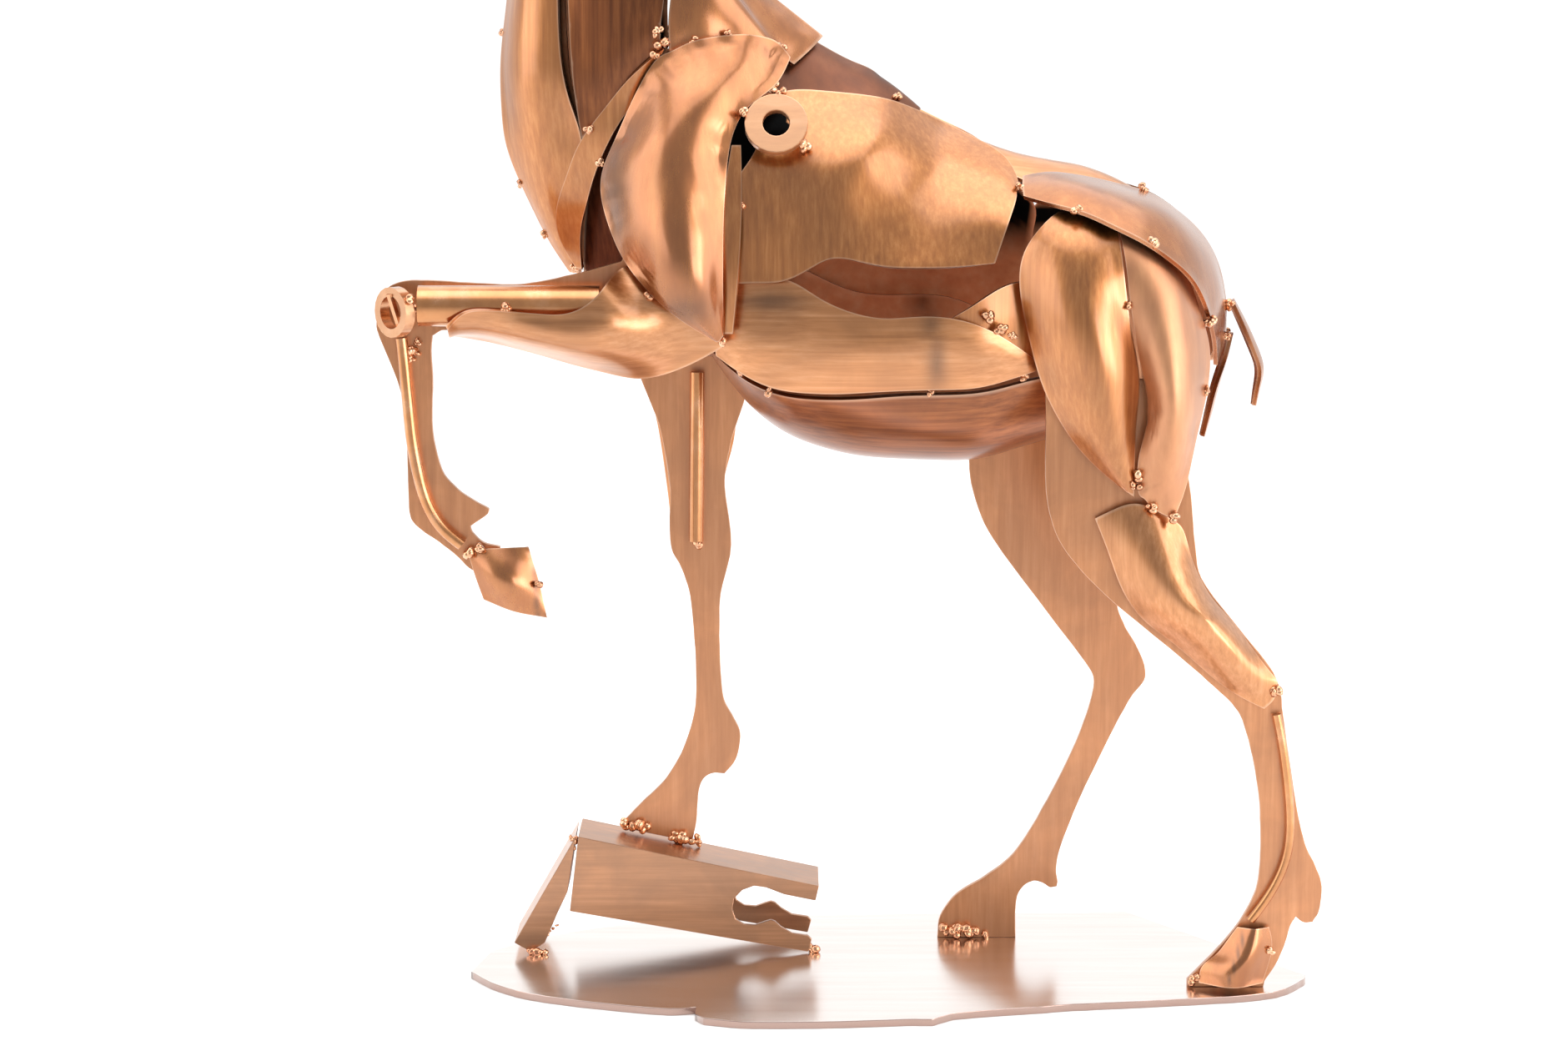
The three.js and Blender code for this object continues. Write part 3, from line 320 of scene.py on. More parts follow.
def diagonals_from(seed, side):
    kind = {seed: True}
    queue = [seed]
    faces = set(side)
    while queue:
        edge = queue.pop()
        news = []
        if kind[edge]:
            for vertex in edge.verts:
                if len(vertex.link_edges) == 6 and not any(is_sharp(e) for e in vertex.link_edges):
                    ring = around(vertex)
                    here = ring.index(edge)
                    news += [(ring[(here + k) % 6], k == 3) for k in range(1, 6)]
        for face in edge.link_faces:
            if face not in faces:
                continue
            others = [e for e in face.edges if e is not edge]
            if kind[edge]:
                news += [(e, False) for e in others]
            elif any(kind.get(e) is False for e in others):
                news += [(e, True) for e in others if e not in kind]
        for other, value in news:
            if other not in kind:
                kind[other] = value
                queue.append(other)
            elif kind[other] != value:
                return None
    found = [e for e, value in kind.items() if value]
    return found if len(found) * 2 == len(side) else None


def patched(node):
    mesh = solid_mesh(node)
    diagonals = []
    for side in sides_of(mesh)[:2]:
        inner = {e for face in side for e in face.edges if not is_sharp(e)}
        for seed in sorted(inner, key=squareness)[:12]:
            found = diagonals_from(seed, side)
            if found:
                diagonals += found
                break
    bmesh.ops.dissolve_edges(mesh, edges=diagonals, use_verts=False, use_face_split=False)
    bmesh.ops.join_triangles(mesh, faces=mesh.faces, angle_face_threshold=1.2, angle_shape_threshold=2.6,
                             cmp_seam=False, cmp_sharp=False, cmp_uvs=False, cmp_vcols=False,
                             cmp_materials=False)
    return mesh


def creased(mesh):
    layer = mesh.edges.layers.float.get("crease_edge") or mesh.edges.layers.float.new("crease_edge")
    for edge in mesh.edges:
        if is_sharp(edge):
            edge[layer] = 1.0
    return mesh


def tightened(mesh, rounds=4):
    """Move the corners outward so that the subdivided surface runs through where they were."""
    goal = {v: v.co.copy() for v in mesh.verts}
    for _ in range(rounds):
        moves = {}
        for v in mesh.verts:
            rims = [e.other_vert(v).co for e in v.link_edges if is_sharp(e)]
            if len(rims) > 2:
                continue
            if len(rims) == 2:
                rest = (v.co * 4 + rims[0] + rims[1]) / 6
            else:
                n = len(v.link_edges)
                far = [next((w for w in f.verts if w is not v and not any(e in f.edges for e in v.link_edges
                       if w in e.verts)), v).co for f in v.link_faces]
                rest = v.co * n * n + 4 * sum((e.other_vert(v).co for e in v.link_edges), Vector())
                rest = (rest + sum(far, Vector())) / (n * (n + 5))
            moves[v] = goal[v] - rest
        for v, move in moves.items():
            v.co += move
    return mesh


def to_object(name, mesh):
    data = bpy.data.meshes.new(name)
    mesh.to_mesh(data)
    mesh.free()
    thing = bpy.data.objects.new(name, data)
    scene.collection.objects.link(thing)
    return thing


def settled(thing):
    """Turn the modifiers of an object into plain mesh."""
    graph = bpy.context.evaluated_depsgraph_get()
    data = bpy.data.meshes.new_from_object(thing.evaluated_get(graph))
    thing.modifiers.clear()
    old, thing.data = thing.data, data
    bpy.data.meshes.remove(old)
    return thing


def subdivided(thing, levels):
    finer = thing.modifiers.new("finer", "SUBSURF")
    finer.levels = finer.render_levels = levels
    return settled(thing)


for name in ("left_rib_shell", "left_shoulder_shell", "left_breast_shell"):
    test = patched(name)
    print(name, "patches", sum(len(f.verts) == 4 for f in test.faces),
          "odd ones", sum(len(f.verts) != 4 for f in test.faces))
    test.free()

# %% [markdown]
# ## Hammering
# A sheet beaten over a stake keeps a slow unevenness and a field of shallow dents, and its rim is fluted
# where the smith drew the metal in. These are moved into the surface itself, so that the highlights break up
# the way they do on real metal, and their hollows are also painted darker as painted shade. The dents follow
# a noise fixed on the body, since any even grid of them would look machine made.

# %% Hammer marks and the attributes of a sheet
def hammered(thing, wave=0.25, dent=0.12, size=5.0, scallop=0.0, apart=5.0, toward=(0, 0), dark_spots=(),
             hole_shade=(), relax=0, seed=0.0):
    """Push a sheet in and out along its normals, in mm, and store its painted shade, dark spots and rims.

    Scallops, scallop mm deep and about apart mm from one another, run in from the rim on the side that
    toward (x, z) points to. Dents, low spots and scallops get painted shade in their hollows. Listed dark
    spots (x, z, half width, half height) darken the colour, and listed black discs (x, z, radius) under a hole
    are painted shade, all in mm. Rims are partly wear and partly painted highlight. relax rounds of
    smoothing widen a tight ridge first.
    """
    mesh = bmesh.new()
    mesh.from_mesh(thing.data)
    mesh.normal_update()
    rim = [v for v in mesh.verts if any(is_sharp(e) for e in v.link_edges)]
    inner = sorted(set(mesh.verts) - set(rim), key=lambda v: v.index)
    for _ in range(relax):
        bmesh.ops.smooth_vert(mesh, verts=inner, factor=0.5, use_axis_x=True, use_axis_y=True,
                              use_axis_z=True)
    mesh.normal_update()
    tree = kdtree.KDTree(len(rim))
    for i, corner in enumerate(rim):
        tree.insert(corner.co, i)
    tree.balance()
    shift = Vector((seed * 7.3, seed * 3.1, -seed * 5.7))
    middle = sum((v.co for v in rim), Vector()) / len(rim) / MM
    reach = Vector((toward[0], 0, toward[1]))
    drawn_in = [max(0.0, 1 - 1.4 * noise.voronoi(v.co / MM / apart + shift)[0][0]) for v in rim]
    dark = mesh.verts.layers.float.new("dent")
    rim_wear_and_highlight = mesh.verts.layers.float.new("rim")
    unlit = mesh.verts.layers.float.new("unlit")
    moves = []
    for corner in mesh.verts:
        near = tree.find_n(corner.co, 6)
        distance = near[0][2] / MM
        place = corner.co / MM
        slow = noise.noise(place / 17 + shift)
        bowl = max(0.0, 1.0 - noise.voronoi(place / size + shift)[0][0] * 1.3)
        calm = min(1.0, distance / 2.5)
        push = wave * slow - dent * bowl
        hollow = 0.0
        if scallop:
            out = (place - middle).normalized()
            side = 1.0 if reach.length == 0 else max(0.0, min(1.0, 0.4 + 1.2 * out.dot(reach.normalized())))
            weights = [math.exp(-((d / MM - distance) / 1.5) ** 2) for _, _, d in near]
            along = sum(w * drawn_in[i] for w, (_, i, _) in zip(weights, near)) / sum(weights)
            hollow = along * math.exp(-(distance / 6) ** 2) * side
            push -= scallop * hollow
        # Listed dark spots, which only darken the colour.
        dark_spot = max((math.exp(-((place.x - x) / w) ** 2 - ((place.z - z) / h) ** 2) for x, z, w,
                      h in dark_spots), default=0)
        moves.append(corner.normal * push * calm * MM)
        # The dent attribute is painted shade in dent bowls, low spots and scallop hollows, plus the listed dark
        # spots.
        corner[dark] = min(1,
                           (0.15 * bowl * dent / 0.15 + 0.15 * max(0.0,
                                                                   -slow) + 0.15 * hollow) * calm + 0.6 * dark_spot)
        # The rim is partly wear and partly painted highlight along the cut edge.
        corner[rim_wear_and_highlight] = max(0.0, 1.0 - distance / 0.45)
        # Black discs of painted shade, where a hole shows only darkness.
        corner[unlit] = max((1.0 for x, z, r in hole_shade if (place.x - x) ** 2 + (place.z - z) ** 2 < r * r),
                            default=0.0)
    for corner, move in zip(mesh.verts, moves):
        corner.co += move
    mesh.to_mesh(thing.data)
    mesh.free()
    return thing


def tucked(thing, x, y):
    """Draw the front margin of a far sheet forward and inward, in mm, to close the slit before it.

    The margin then crosses the sheet in front of it.
    """
    rows = {}
    for corner in thing.data.vertices:
        rows.setdefault(round(corner.co.z / MM / 4), []).append(corner.co.x)
    for corner in thing.data.vertices:
        row = rows[round(corner.co.z / MM / 4)]
        share = (corner.co.x - min(row)) / max(max(row) - min(row), MM)
        corner.co += Vector((x, y, 0)) * MM * max(0.0, 1 - share / 0.4) ** 2
    return thing


def smoothed(thing):
    mesh = bmesh.new()
    mesh.from_mesh(thing.data)
    for face in mesh.faces:
        face.smooth = True
    for edge in mesh.edges:
        edge.smooth = edge.calc_face_angle(0) < 0.7
    mesh.to_mesh(thing.data)
    mesh.free()
    return thing


def flat_faced(thing):
    """Let the large faces keep their flat shading up to the rounded edge."""
    flat = thing.modifiers.new("flat_faces", "WEIGHTED_NORMAL")
    flat.weight, flat.keep_sharp = 100, True
    return settled(thing)


def handed_over(thing, node, *names):
    for name in names:
        thing.data.materials.append(metals[name])
    for corner in thing.data.vertices:
        corner.co = [max(low, min(high, v)) for low, v, high in zip(cad_low, corner.co, cad_high)]
    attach(thing, "root")
    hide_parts(node)
    return thing


CLOSED_ABOVE, CLOSED_BELOW = 198, 305


def outwardness(side):
    """How far the faces of a side look away from the middle of the body, or of the head above it."""
    total = 0.0
    for face in side:
        spot = face.calc_center_median() / MM
        height = spot.z - (200 if spot.z < 280 else 315)
        total += face.calc_area() * face.normal.dot(Vector((0, spot.y, 0.3 * height)))
    return total


def formed_sheet(node, metal, levels=3, lining="inside", **marks):
    """One sheet, smooth outside, oxidised and brightened with painted light inside, and black where the body is
    closed and lets no light in.
    """
    thing = subdivided(to_object(node + "_piece", tightened(creased(patched(node)))), levels)
    hammered(thing, **marks)
    mesh = bmesh.new()
    mesh.from_mesh(thing.data)
    unlit = mesh.verts.layers.float["unlit"]
    mesh.normal_update()
    for face in min(sides_of(mesh)[:2], key=outwardness):
        face.material_index = 1
        for corner in face.verts:
            if all(not is_sharp(e) for e in corner.link_edges):
                up = corner.co.z / MM
                corner[unlit] = max(0.0,
                                    min(1.0, (up - CLOSED_ABOVE) / 10 + 0.5, (CLOSED_BELOW - up) / 10 + 0.5))
    mesh.to_mesh(thing.data)
    mesh.free()
    return handed_over(smoothed(thing), node, metal, lining)


# %% [markdown]
# ## The body, shoulders, thighs, neck and head
# The near side gets the finest surface, because that is where the picture looks. The far side is the same
# sheet work with one step less of it. Every sheet has a different seed so that no two dents repeat.

# %% Form the sheets
sheets = {
    # The rib gets a black disc of painted shade behind the washer's hole.
    "left_rib_shell": dict(metal="upright", wave=0.5, dent=0.05, size=12, scallop=0.2, apart=9, toward=(0, 1),
                           hole_shade=[(-21.85, 232.1, 4.6)]),
    "left_belly_shell": dict(metal="lengthwise", wave=0.35, dent=0.03, size=9,
                             dark_spots=[(19.5, 181, 3.2, 4), (21, 172, 2.6, 9), (-22, 187, 9, 2.5)]),
    "belly_keel": dict(metal="keel", wave=0.3, dent=0.03, size=9),
    "left_flank_patch": dict(metal="leaning", wave=0.3, dent=0.05, size=5),
    "back_saddle_sheet": dict(metal="saddle", wave=0.2, dent=0.03, size=7),
    "spine_sheet": dict(metal="lengthwise", wave=0.25, dent=0.06, size=5),
    "left_shoulder_shell": dict(metal="smooth", levels=4, wave=0.7, dent=0.05, size=9, scallop=1.3, apart=5,
                                toward=(-0.9, 0.45), dark_spots=[(-62, 216, 4, 14), (-44, 186, 7, 5)]),
    "left_shoulder_strip": dict(metal="upright", wave=0.1, dent=0.03, size=4),
    "left_thigh_front_shell": dict(metal="leaning", wave=0.5, dent=0.04, size=10, scallop=0.2, apart=8),
    "left_thigh_rear_shell": dict(metal="satin_painted_highlight", levels=4, wave=0.25, dent=0.08, size=9, scallop=0.6,
                                  relax=160,
                                  toward=(0.3, -1)),
    "left_rump_shell": dict(metal="smooth", wave=0.35, dent=0.03, size=9, scallop=0.25, apart=7,
                            toward=(0, -1)),
    "left_gaskin_shell": dict(metal="downleg", wave=0.3, dent=0.04, size=7),
    "left_forearm_shell": dict(metal="lengthwise", wave=0.35, dent=0.05, size=7, scallop=0.3, apart=7),
    "left_forehoof": dict(metal="smooth", lining="smooth", wave=0.12, dent=0.02, size=6,
                          dark_spots=[(-84.4 + 0.2 * i, 120.5 - 4.4 * i, 0.9, 3.2) for i in range(5)]),
    "left_hind_hoof": dict(metal="smooth", lining="smooth", wave=0.12, dent=0.02, size=6,
                           dark_spots=[(103.6 - 1.2 * i, 16 - 3.4 * i, 0.5, 2) for i in range(4)]),
    "right_forearm_shell": dict(metal="upright", wave=0.3, dent=0.08, size=6),
    "tail_leaf_upper": dict(metal="smooth", lining="smooth", wave=0.2, dent=0.05, size=4),
    "tail_leaf_lower": dict(metal="smooth", lining="smooth", wave=0.2, dent=0.05, size=4),
    "left_neck_band": dict(metal="leaning", wave=0.15, dent=0.05, size=4),
    "left_breast_shell": dict(metal="upright", wave=0.5, dent=0.04, size=9, scallop=0.25, apart=8,
                              toward=(-1, 0)),
    "left_neck_side_shell": dict(metal="shaded", wave=0.3, dent=0.04, size=9),
    "left_withers_shell": dict(metal="smooth", wave=0.5, dent=0.06, size=8, scallop=0.5, apart=6,
                               toward=(0.6, -1)),
    "left_chest_panel": dict(metal="painted_deep_shade", wave=0.2, dent=0.03, size=6),
    "left_cheek_shell": dict(metal="smooth", wave=0.15, dent=0.04, size=6),
    "brow_and_nose_sheet": dict(metal="lengthwise", wave=0.15, dent=0.05, size=5),
    "jaw_sheet": dict(metal="lengthwise", wave=0.15, dent=0.05, size=5),
    "nose_cap": dict(metal="smooth", wave=0.05, dent=0.02, size=3),
    "left_ear": dict(metal="smooth", lining="smooth", wave=0.15, dent=0.05, size=4),
    "right_ear": dict(metal="smooth", lining="smooth", wave=0.15, dent=0.05, size=4),
}
for side in ("rib", "belly", "shoulder", "thigh_front", "thigh_rear", "rump", "gaskin", "breast",
             "neck_side", "withers", "cheek"):
    near = sheets[f"left_{side}_shell"]
    sheets[f"right_{side}_shell"] = {**near, "levels": 3 if near.get("levels") == 4 else 2, "hole_shade": ()}
sheets["right_neck_band"] = {**sheets["left_neck_band"], "levels": 2}
formed = {node: formed_sheet(node, seed=i + 1, **work) for i, (node, work) in enumerate(sheets.items())}
tucked(formed["right_neck_side_shell"], -3.0, -1.5)
print("sheets", len(formed), "triangles",
      sum(len(p.vertices) - 2 for t in formed.values() for p in t.data.polygons))

# %% [markdown]
# ## Legs cut from flat plate
# The legs are flat and were cut with a torch along a drawn line. The solid holds that line as straight
# strokes, which are turned back into a flowing one through the same points, broken only at real corners.
# A torch leaves a slightly wavering edge and a burr, so the line wavers by a tenth of a millimetre and
# the edge is rounded over.

# %% Cut a plate along its outline
def outline_of(node, axis=1):
    """The outline of a plate as points seen along the axis through it, and where its two faces are."""
    mesh = solid_mesh(node)
    bmesh.ops.dissolve_limit(mesh, angle_limit=0.02, verts=mesh.verts, edges=mesh.edges)
    front = min(mesh.faces, key=lambda face: (round(face.calc_center_median()[axis], 4), -len(face.verts)))
    points = [Vector((loop.vert.co.x, loop.vert.co[3 - axis])) for loop in front.loops]
    depths = [v.co[axis] for v in mesh.verts]
    mesh.free()
    return points, min(depths), max(depths)


def flowing(points, strokes=5, corner=0.75, waver=0.1):
    """A smooth closed line through the points, broken where it turns by more than corner."""
    count = len(points)
    def turns(i):
        one, two = points[i] - points[i - 1], points[(i + 1) % count] - points[i]
        return one.angle(two, 0) > corner
    sharp = [turns(i) for i in range(count)]
    line = []
    for i in range(count):
        a, b = points[i], points[(i + 1) % count]
        before = a - (b - a) if sharp[i] else points[i - 1]
        after = b + (b - a) if sharp[(i + 1) % count] else points[(i + 2) % count]
        if sharp[i] and sharp[(i + 1) % count]:
            steps = 1
        else:
            steps = max(1, min(strokes, round((b - a).length / (0.7 * MM))))
        into, out = (b - before) / 2, (after - a) / 2
        if (b - before).length > 1e-9:
            into = (b - before).normalized() * min(into.length, (b - a).length)
        if (after - a).length > 1e-9:
            out = (after - a).normalized() * min(out.length, (b - a).length)
        for k in range(steps):
            t = k / steps
            point = ((2 * t**3 - 3 * t**2 + 1) * a + (t**3 - 2 * t**2 + t) * into
                     + (3 * t**2 - 2 * t**3) * b + (t**3 - t**2) * out)
            shake = noise.noise(Vector((point.x, 0, point.y)) / MM / 3.1) * waver * MM
            away = Vector((-(b - a).y, (b - a).x)).normalized()
            line.append(point + away * (shake if k else 0))
    return line


SOLE_DROP, EDGE_ROUNDING = 0.27, 0.22


def cut_plate(node, metal="plate", axis=1, **cut):
    points, low, high = outline_of(node, axis)
    foot = min(p.y for p in points)
    if axis == 1 and foot < 3 * MM:
        for p in points:
            if p.y < foot + 0.1 * MM:
                p.y -= SOLE_DROP * MM
    line = flowing(points, **cut)
    mesh = bmesh.new()
    near = [mesh.verts.new((p.x, low, p.y) if axis == 1 else (p.x, p.y, low)) for p in line]
    far = [mesh.verts.new((p.x, high, p.y) if axis == 1 else (p.x, p.y, high)) for p in line]
    mesh.faces.new(near)
    mesh.faces.new(far[::-1])
    for i in range(len(line)):
        j = (i + 1) % len(line)
        mesh.faces.new((near[j], near[i], far[i], far[j]))
    bmesh.ops.recalc_face_normals(mesh, faces=mesh.faces)
    rims = [e for e in mesh.edges if e.verts[0].co[axis] == e.verts[1].co[axis]]
    bmesh.ops.bevel(mesh, geom=rims, offset=EDGE_ROUNDING * MM, segments=2, profile=0.5, affect="EDGES",
                    clamp_overlap=True)
    # Edges, and faintly the faces of leg plates, take the edge colour: partly wear and partly painted highlight;
    # on the base it is the darker copper of its cut edge.
    rim_wear_and_highlight = mesh.verts.layers.float.new("rim")
    flat = {v for face in mesh.faces if len(face.verts) > 8 for v in face.verts}
    for corner in mesh.verts:
        corner[rim_wear_and_highlight] = (0.55 if axis == 1 else 0.0) if corner in flat else 0.85
    return handed_over(flat_faced(smoothed(to_object(node + "_piece", mesh))), node, metal)


for node in ("left_foreleg_plate", "right_foreleg_plate", "left_hind_plate", "right_hind_plate"):
    leg = cut_plate(node)
    print(node, "corners along its outline", len(leg.data.polygons))

# %% [markdown]
# ## Base, step and prop
# The base is one thin sheet with a clipped corner and a shallow tongue in front. The step was folded from
# sheet, with an opening cut through both walls. They are bevelled only enough to catch light.

# %% Copy a flat-sided solid with softened edges
def softened(node, metal, width=0.25):
    mesh = solid_mesh(node)
    bmesh.ops.dissolve_limit(mesh, angle_limit=0.03, verts=mesh.verts, edges=mesh.edges)
    edges = [e for e in mesh.edges if e.calc_face_angle(0) > 0.5]
    bmesh.ops.bevel(mesh, geom=edges, offset=width * MM, segments=2, profile=0.5, affect="EDGES",
                    clamp_overlap=True)
    # Bevelled edges take the edge colour: partly wear and partly painted highlight.
    rim_wear_and_highlight = mesh.verts.layers.float.new("rim")
    for corner in mesh.verts:
        corner[rim_wear_and_highlight] = 0.7 if any(0.1 < e.calc_face_angle(0) for e in corner.link_edges) else 0.0
    return handed_over(flat_faced(smoothed(to_object(node + "_piece", mesh))), node, metal)


cut_plate("base_plate", "base", axis=2, strokes=8, corner=0.5, waver=0.25)
softened("step_channel", "step")
softened("step_prop", "step")

# %% [markdown]
# ## Bars, tubes and rings
# These are the brightest parts, bought as drawn stock and only lightly stained. They are round, so the
# facets of the solid are subdivided away and its flat ends kept.

# %% Round the drawn stock
def rounded(node, metal, levels=2):
    mesh = solid_mesh(node)
    bmesh.ops.dissolve_limit(mesh, angle_limit=0.01, verts=mesh.verts, edges=mesh.edges)
    bmesh.ops.join_triangles(mesh, faces=[f for f in mesh.faces if len(f.verts) == 3],
                             angle_face_threshold=1.2,
                             angle_shape_threshold=2.6, cmp_seam=False, cmp_sharp=False, cmp_uvs=False,
                             cmp_vcols=False, cmp_materials=False)
    thing = subdivided(to_object(node + "_piece", tightened(creased(mesh))), levels)
    return handed_over(smoothed(thing), node, metal)


def seated(thing, sink=1.2, shape=(1.15, 0.7, 1.9)):
    """Sink an eye into the cheek, in mm, and give it a rounder outline there."""
    middle = sum((v.co for v in thing.data.vertices), Vector()) / len(thing.data.vertices)
    for corner in thing.data.vertices:
        away = corner.co - middle
        corner.co = middle + Vector([a * b for a, b in zip(away, shape)]) - Vector((0,
                                                                                    math.copysign(sink * MM,
                                                                                                  middle.y),
                                                                                    0))
    return thing


for node in ("right_foreleg_tube", "left_forearm_tube", "left_foreleg_rod", "left_hind_rod"):
    rounded(node, "bright")
softened("left_knee_ring", "bright", 0.3)
softened("left_shoulder_washer", "washer", 0.3)
for node in ("left_eye", "right_eye"):
    seated(rounded(node, "eye"))
for node in ("left_antler", "right_antler"):
    rounded(node, "antler", 1)

# %% [markdown]
# ## Weld tacks
# The sheets hang together by short tacks, each a puddle of filler that froze in a few lumps. Modelling every
# lump by hand would take long and look regular. So only the tack points are listed, and Geometry Nodes
# sets a handful of turned and dented lumps on each.

# %% Where the tacks are, in mm, with their size
paired_tacks = [
    (-51.1, -22.9, 256.3, 1.0), (-50.4, -23.2, 253.2, 1.2), (-52.2, -23.4, 250.6, 1.0),
    (-42.5, -23.0, 253.9, 0.9),
    (-33.6, -21.6, 255.4, 0.9), (-19.4, -14.8, 251.6, 1.0), (-21.4, -15.4, 241.6, 1.2),
    (-69.6, -20.4, 231.0, 0.9),
    (-66.6, -21.8, 222.6, 0.9), (-22.0, -26.6, 163.2, 1.0), (43.2, -19.6, 215.8, 1.0),
    (56.7, -31.6, 210.8, 1.1),
    (76.7, -33.2, 202.4, 1.1), (92.9, -22.0, 181.2, 1.1), (70.6, -34.3, 186.6, 0.9),
    (91.9, -25.8, 163.0, 0.9),
    (73.5, -31.4, 141.2, 1.1), (73.4, -31.2, 138.6, 0.9), (77.6, -31.2, 132.8, 1.1),
    (83.8, -31.0, 130.2, 1.1),
    (11.1, -4.6, 239.2, 0.9), (77.0, -4.2, 214.4, 0.8), (20.0, -27.4, 163.0, 0.8), (44.0, -24.6, 166.6, 0.9),
    (-118.6, -3.2, 306.0, 0.6), (-118.8, -2.4, 303.2, 0.5), (-117.8, -2.4, 309.0, 0.6),
    (-79.5, -7.0, 303.8, 0.6),
    (-93.2, -0.8, 255.5, 0.8), (-88.6, -0.8, 215.4, 0.8), (-82.2, -0.8, 202.0, 0.8),
    (-74.4, -4.0, 193.4, 0.9),
    (-68.0, -8.8, 332.4, 1.3), (-70.0, -8.4, 334.6, 1.1), (-84.0, -7.2, 305.8, 1.0),
    (-102.0, -5.0, 302.6, 0.8),
    (-72.4, -5.6, 337.4, 1.5), (-30.0, -22.6, 167.6, 1.0), (101.0, -2.0, 183.2, 1.0),
    (100.0, -3.0, 175.2, 0.9),
]
single_tacks = [
    (-29.6, -31.6, 211.6, 1.1), (-53.2, -34.9, 189.2, 1.0), (-35.2, -33.6, 177.4, 1.2),
    (-90.3, -38.0, 185.9, 1.2),
    (34.7, -30.6, 183.0, 1.1), (37.9, -30.2, 180.2, 1.2), (40.6, -29.6, 178.4, 0.8),
    (111.6, -28.0, 83.2, 1.2),
    (-10.6, 8.3, 2.8, 1.1), (91.4, -27.4, 4.6, 1.1), (111.4, -28.4, 12.6, 0.9), (-102.2, -28.0, 120.8, 1.2),
    (-99.0, -28.6, 121.8, 1.0), (-83.4, -29.4, 112.6, 0.8), (-114.8, -36.6, 187.4, 1.2),
    (-113.2, -33.0, 184.6, 1.0),
    (-115.3, -26.9, 173.8, 1.1), (-114.2, -26.9, 175.8, 0.9), (-116.2, -27.0, 171.8, 0.8),
    (-42.9, 21.6, 115.4, 1.3),
    (-62.4, 23.3, 35.0, 1.3), (-60.0, 22.8, 34.6, 1.4), (-57.4, 23.0, 33.6, 1.1), (-49.0, 23.0, 31.8, 1.3),
    (-46.2, 22.4, 31.2, 1.5), (-43.6, 22.6, 30.4, 1.1), (-29.2, -31.6, 236.2, 1.0),
    (-13.4, -28.8, 226.8, 1.2),
    (-19.6, -28.0, 240.6, 0.9), (-88.0, 6.6, 3.0, 1.2), (-85.6, 6.4, 3.2, 1.0), (26.0, 23.2, 4.6, 1.2),
    (28.6, 22.8, 3.8, 1.5), (31.6, 22.8, 4.2, 1.4), (34.4, 23.2, 3.4, 1.2), (37.4, 23.4, 3.0, 1.0),
    (-76.9, 8.4, 34.2, 0.8), (-76.9, 8.2, 31.6, 0.5), (-84.4, 10.6, 6.6, 0.35), (-83.8, 10.6, 7.6, 0.35),
    (-82.9, 10.6, 8.4, 0.35), (-81.8, 10.6, 9.0, 0.3),
]
EYE, LID_LUMPS = (-86.0, -13.0, 324.8), 14
for k in range(LID_LUMPS):
    turn = 2 * math.pi * k / LID_LUMPS
    paired_tacks.append((EYE[0] + 2.9 * math.cos(turn), EYE[1] - 0.25 * math.cos(turn),
                         EYE[2] + 2.3 * math.sin(turn), 0.3))
tacks = single_tacks + [(x, side * y, z, size) for x, y, z, size in paired_tacks for side in (1, -1)]
print("tacks", len(tacks))

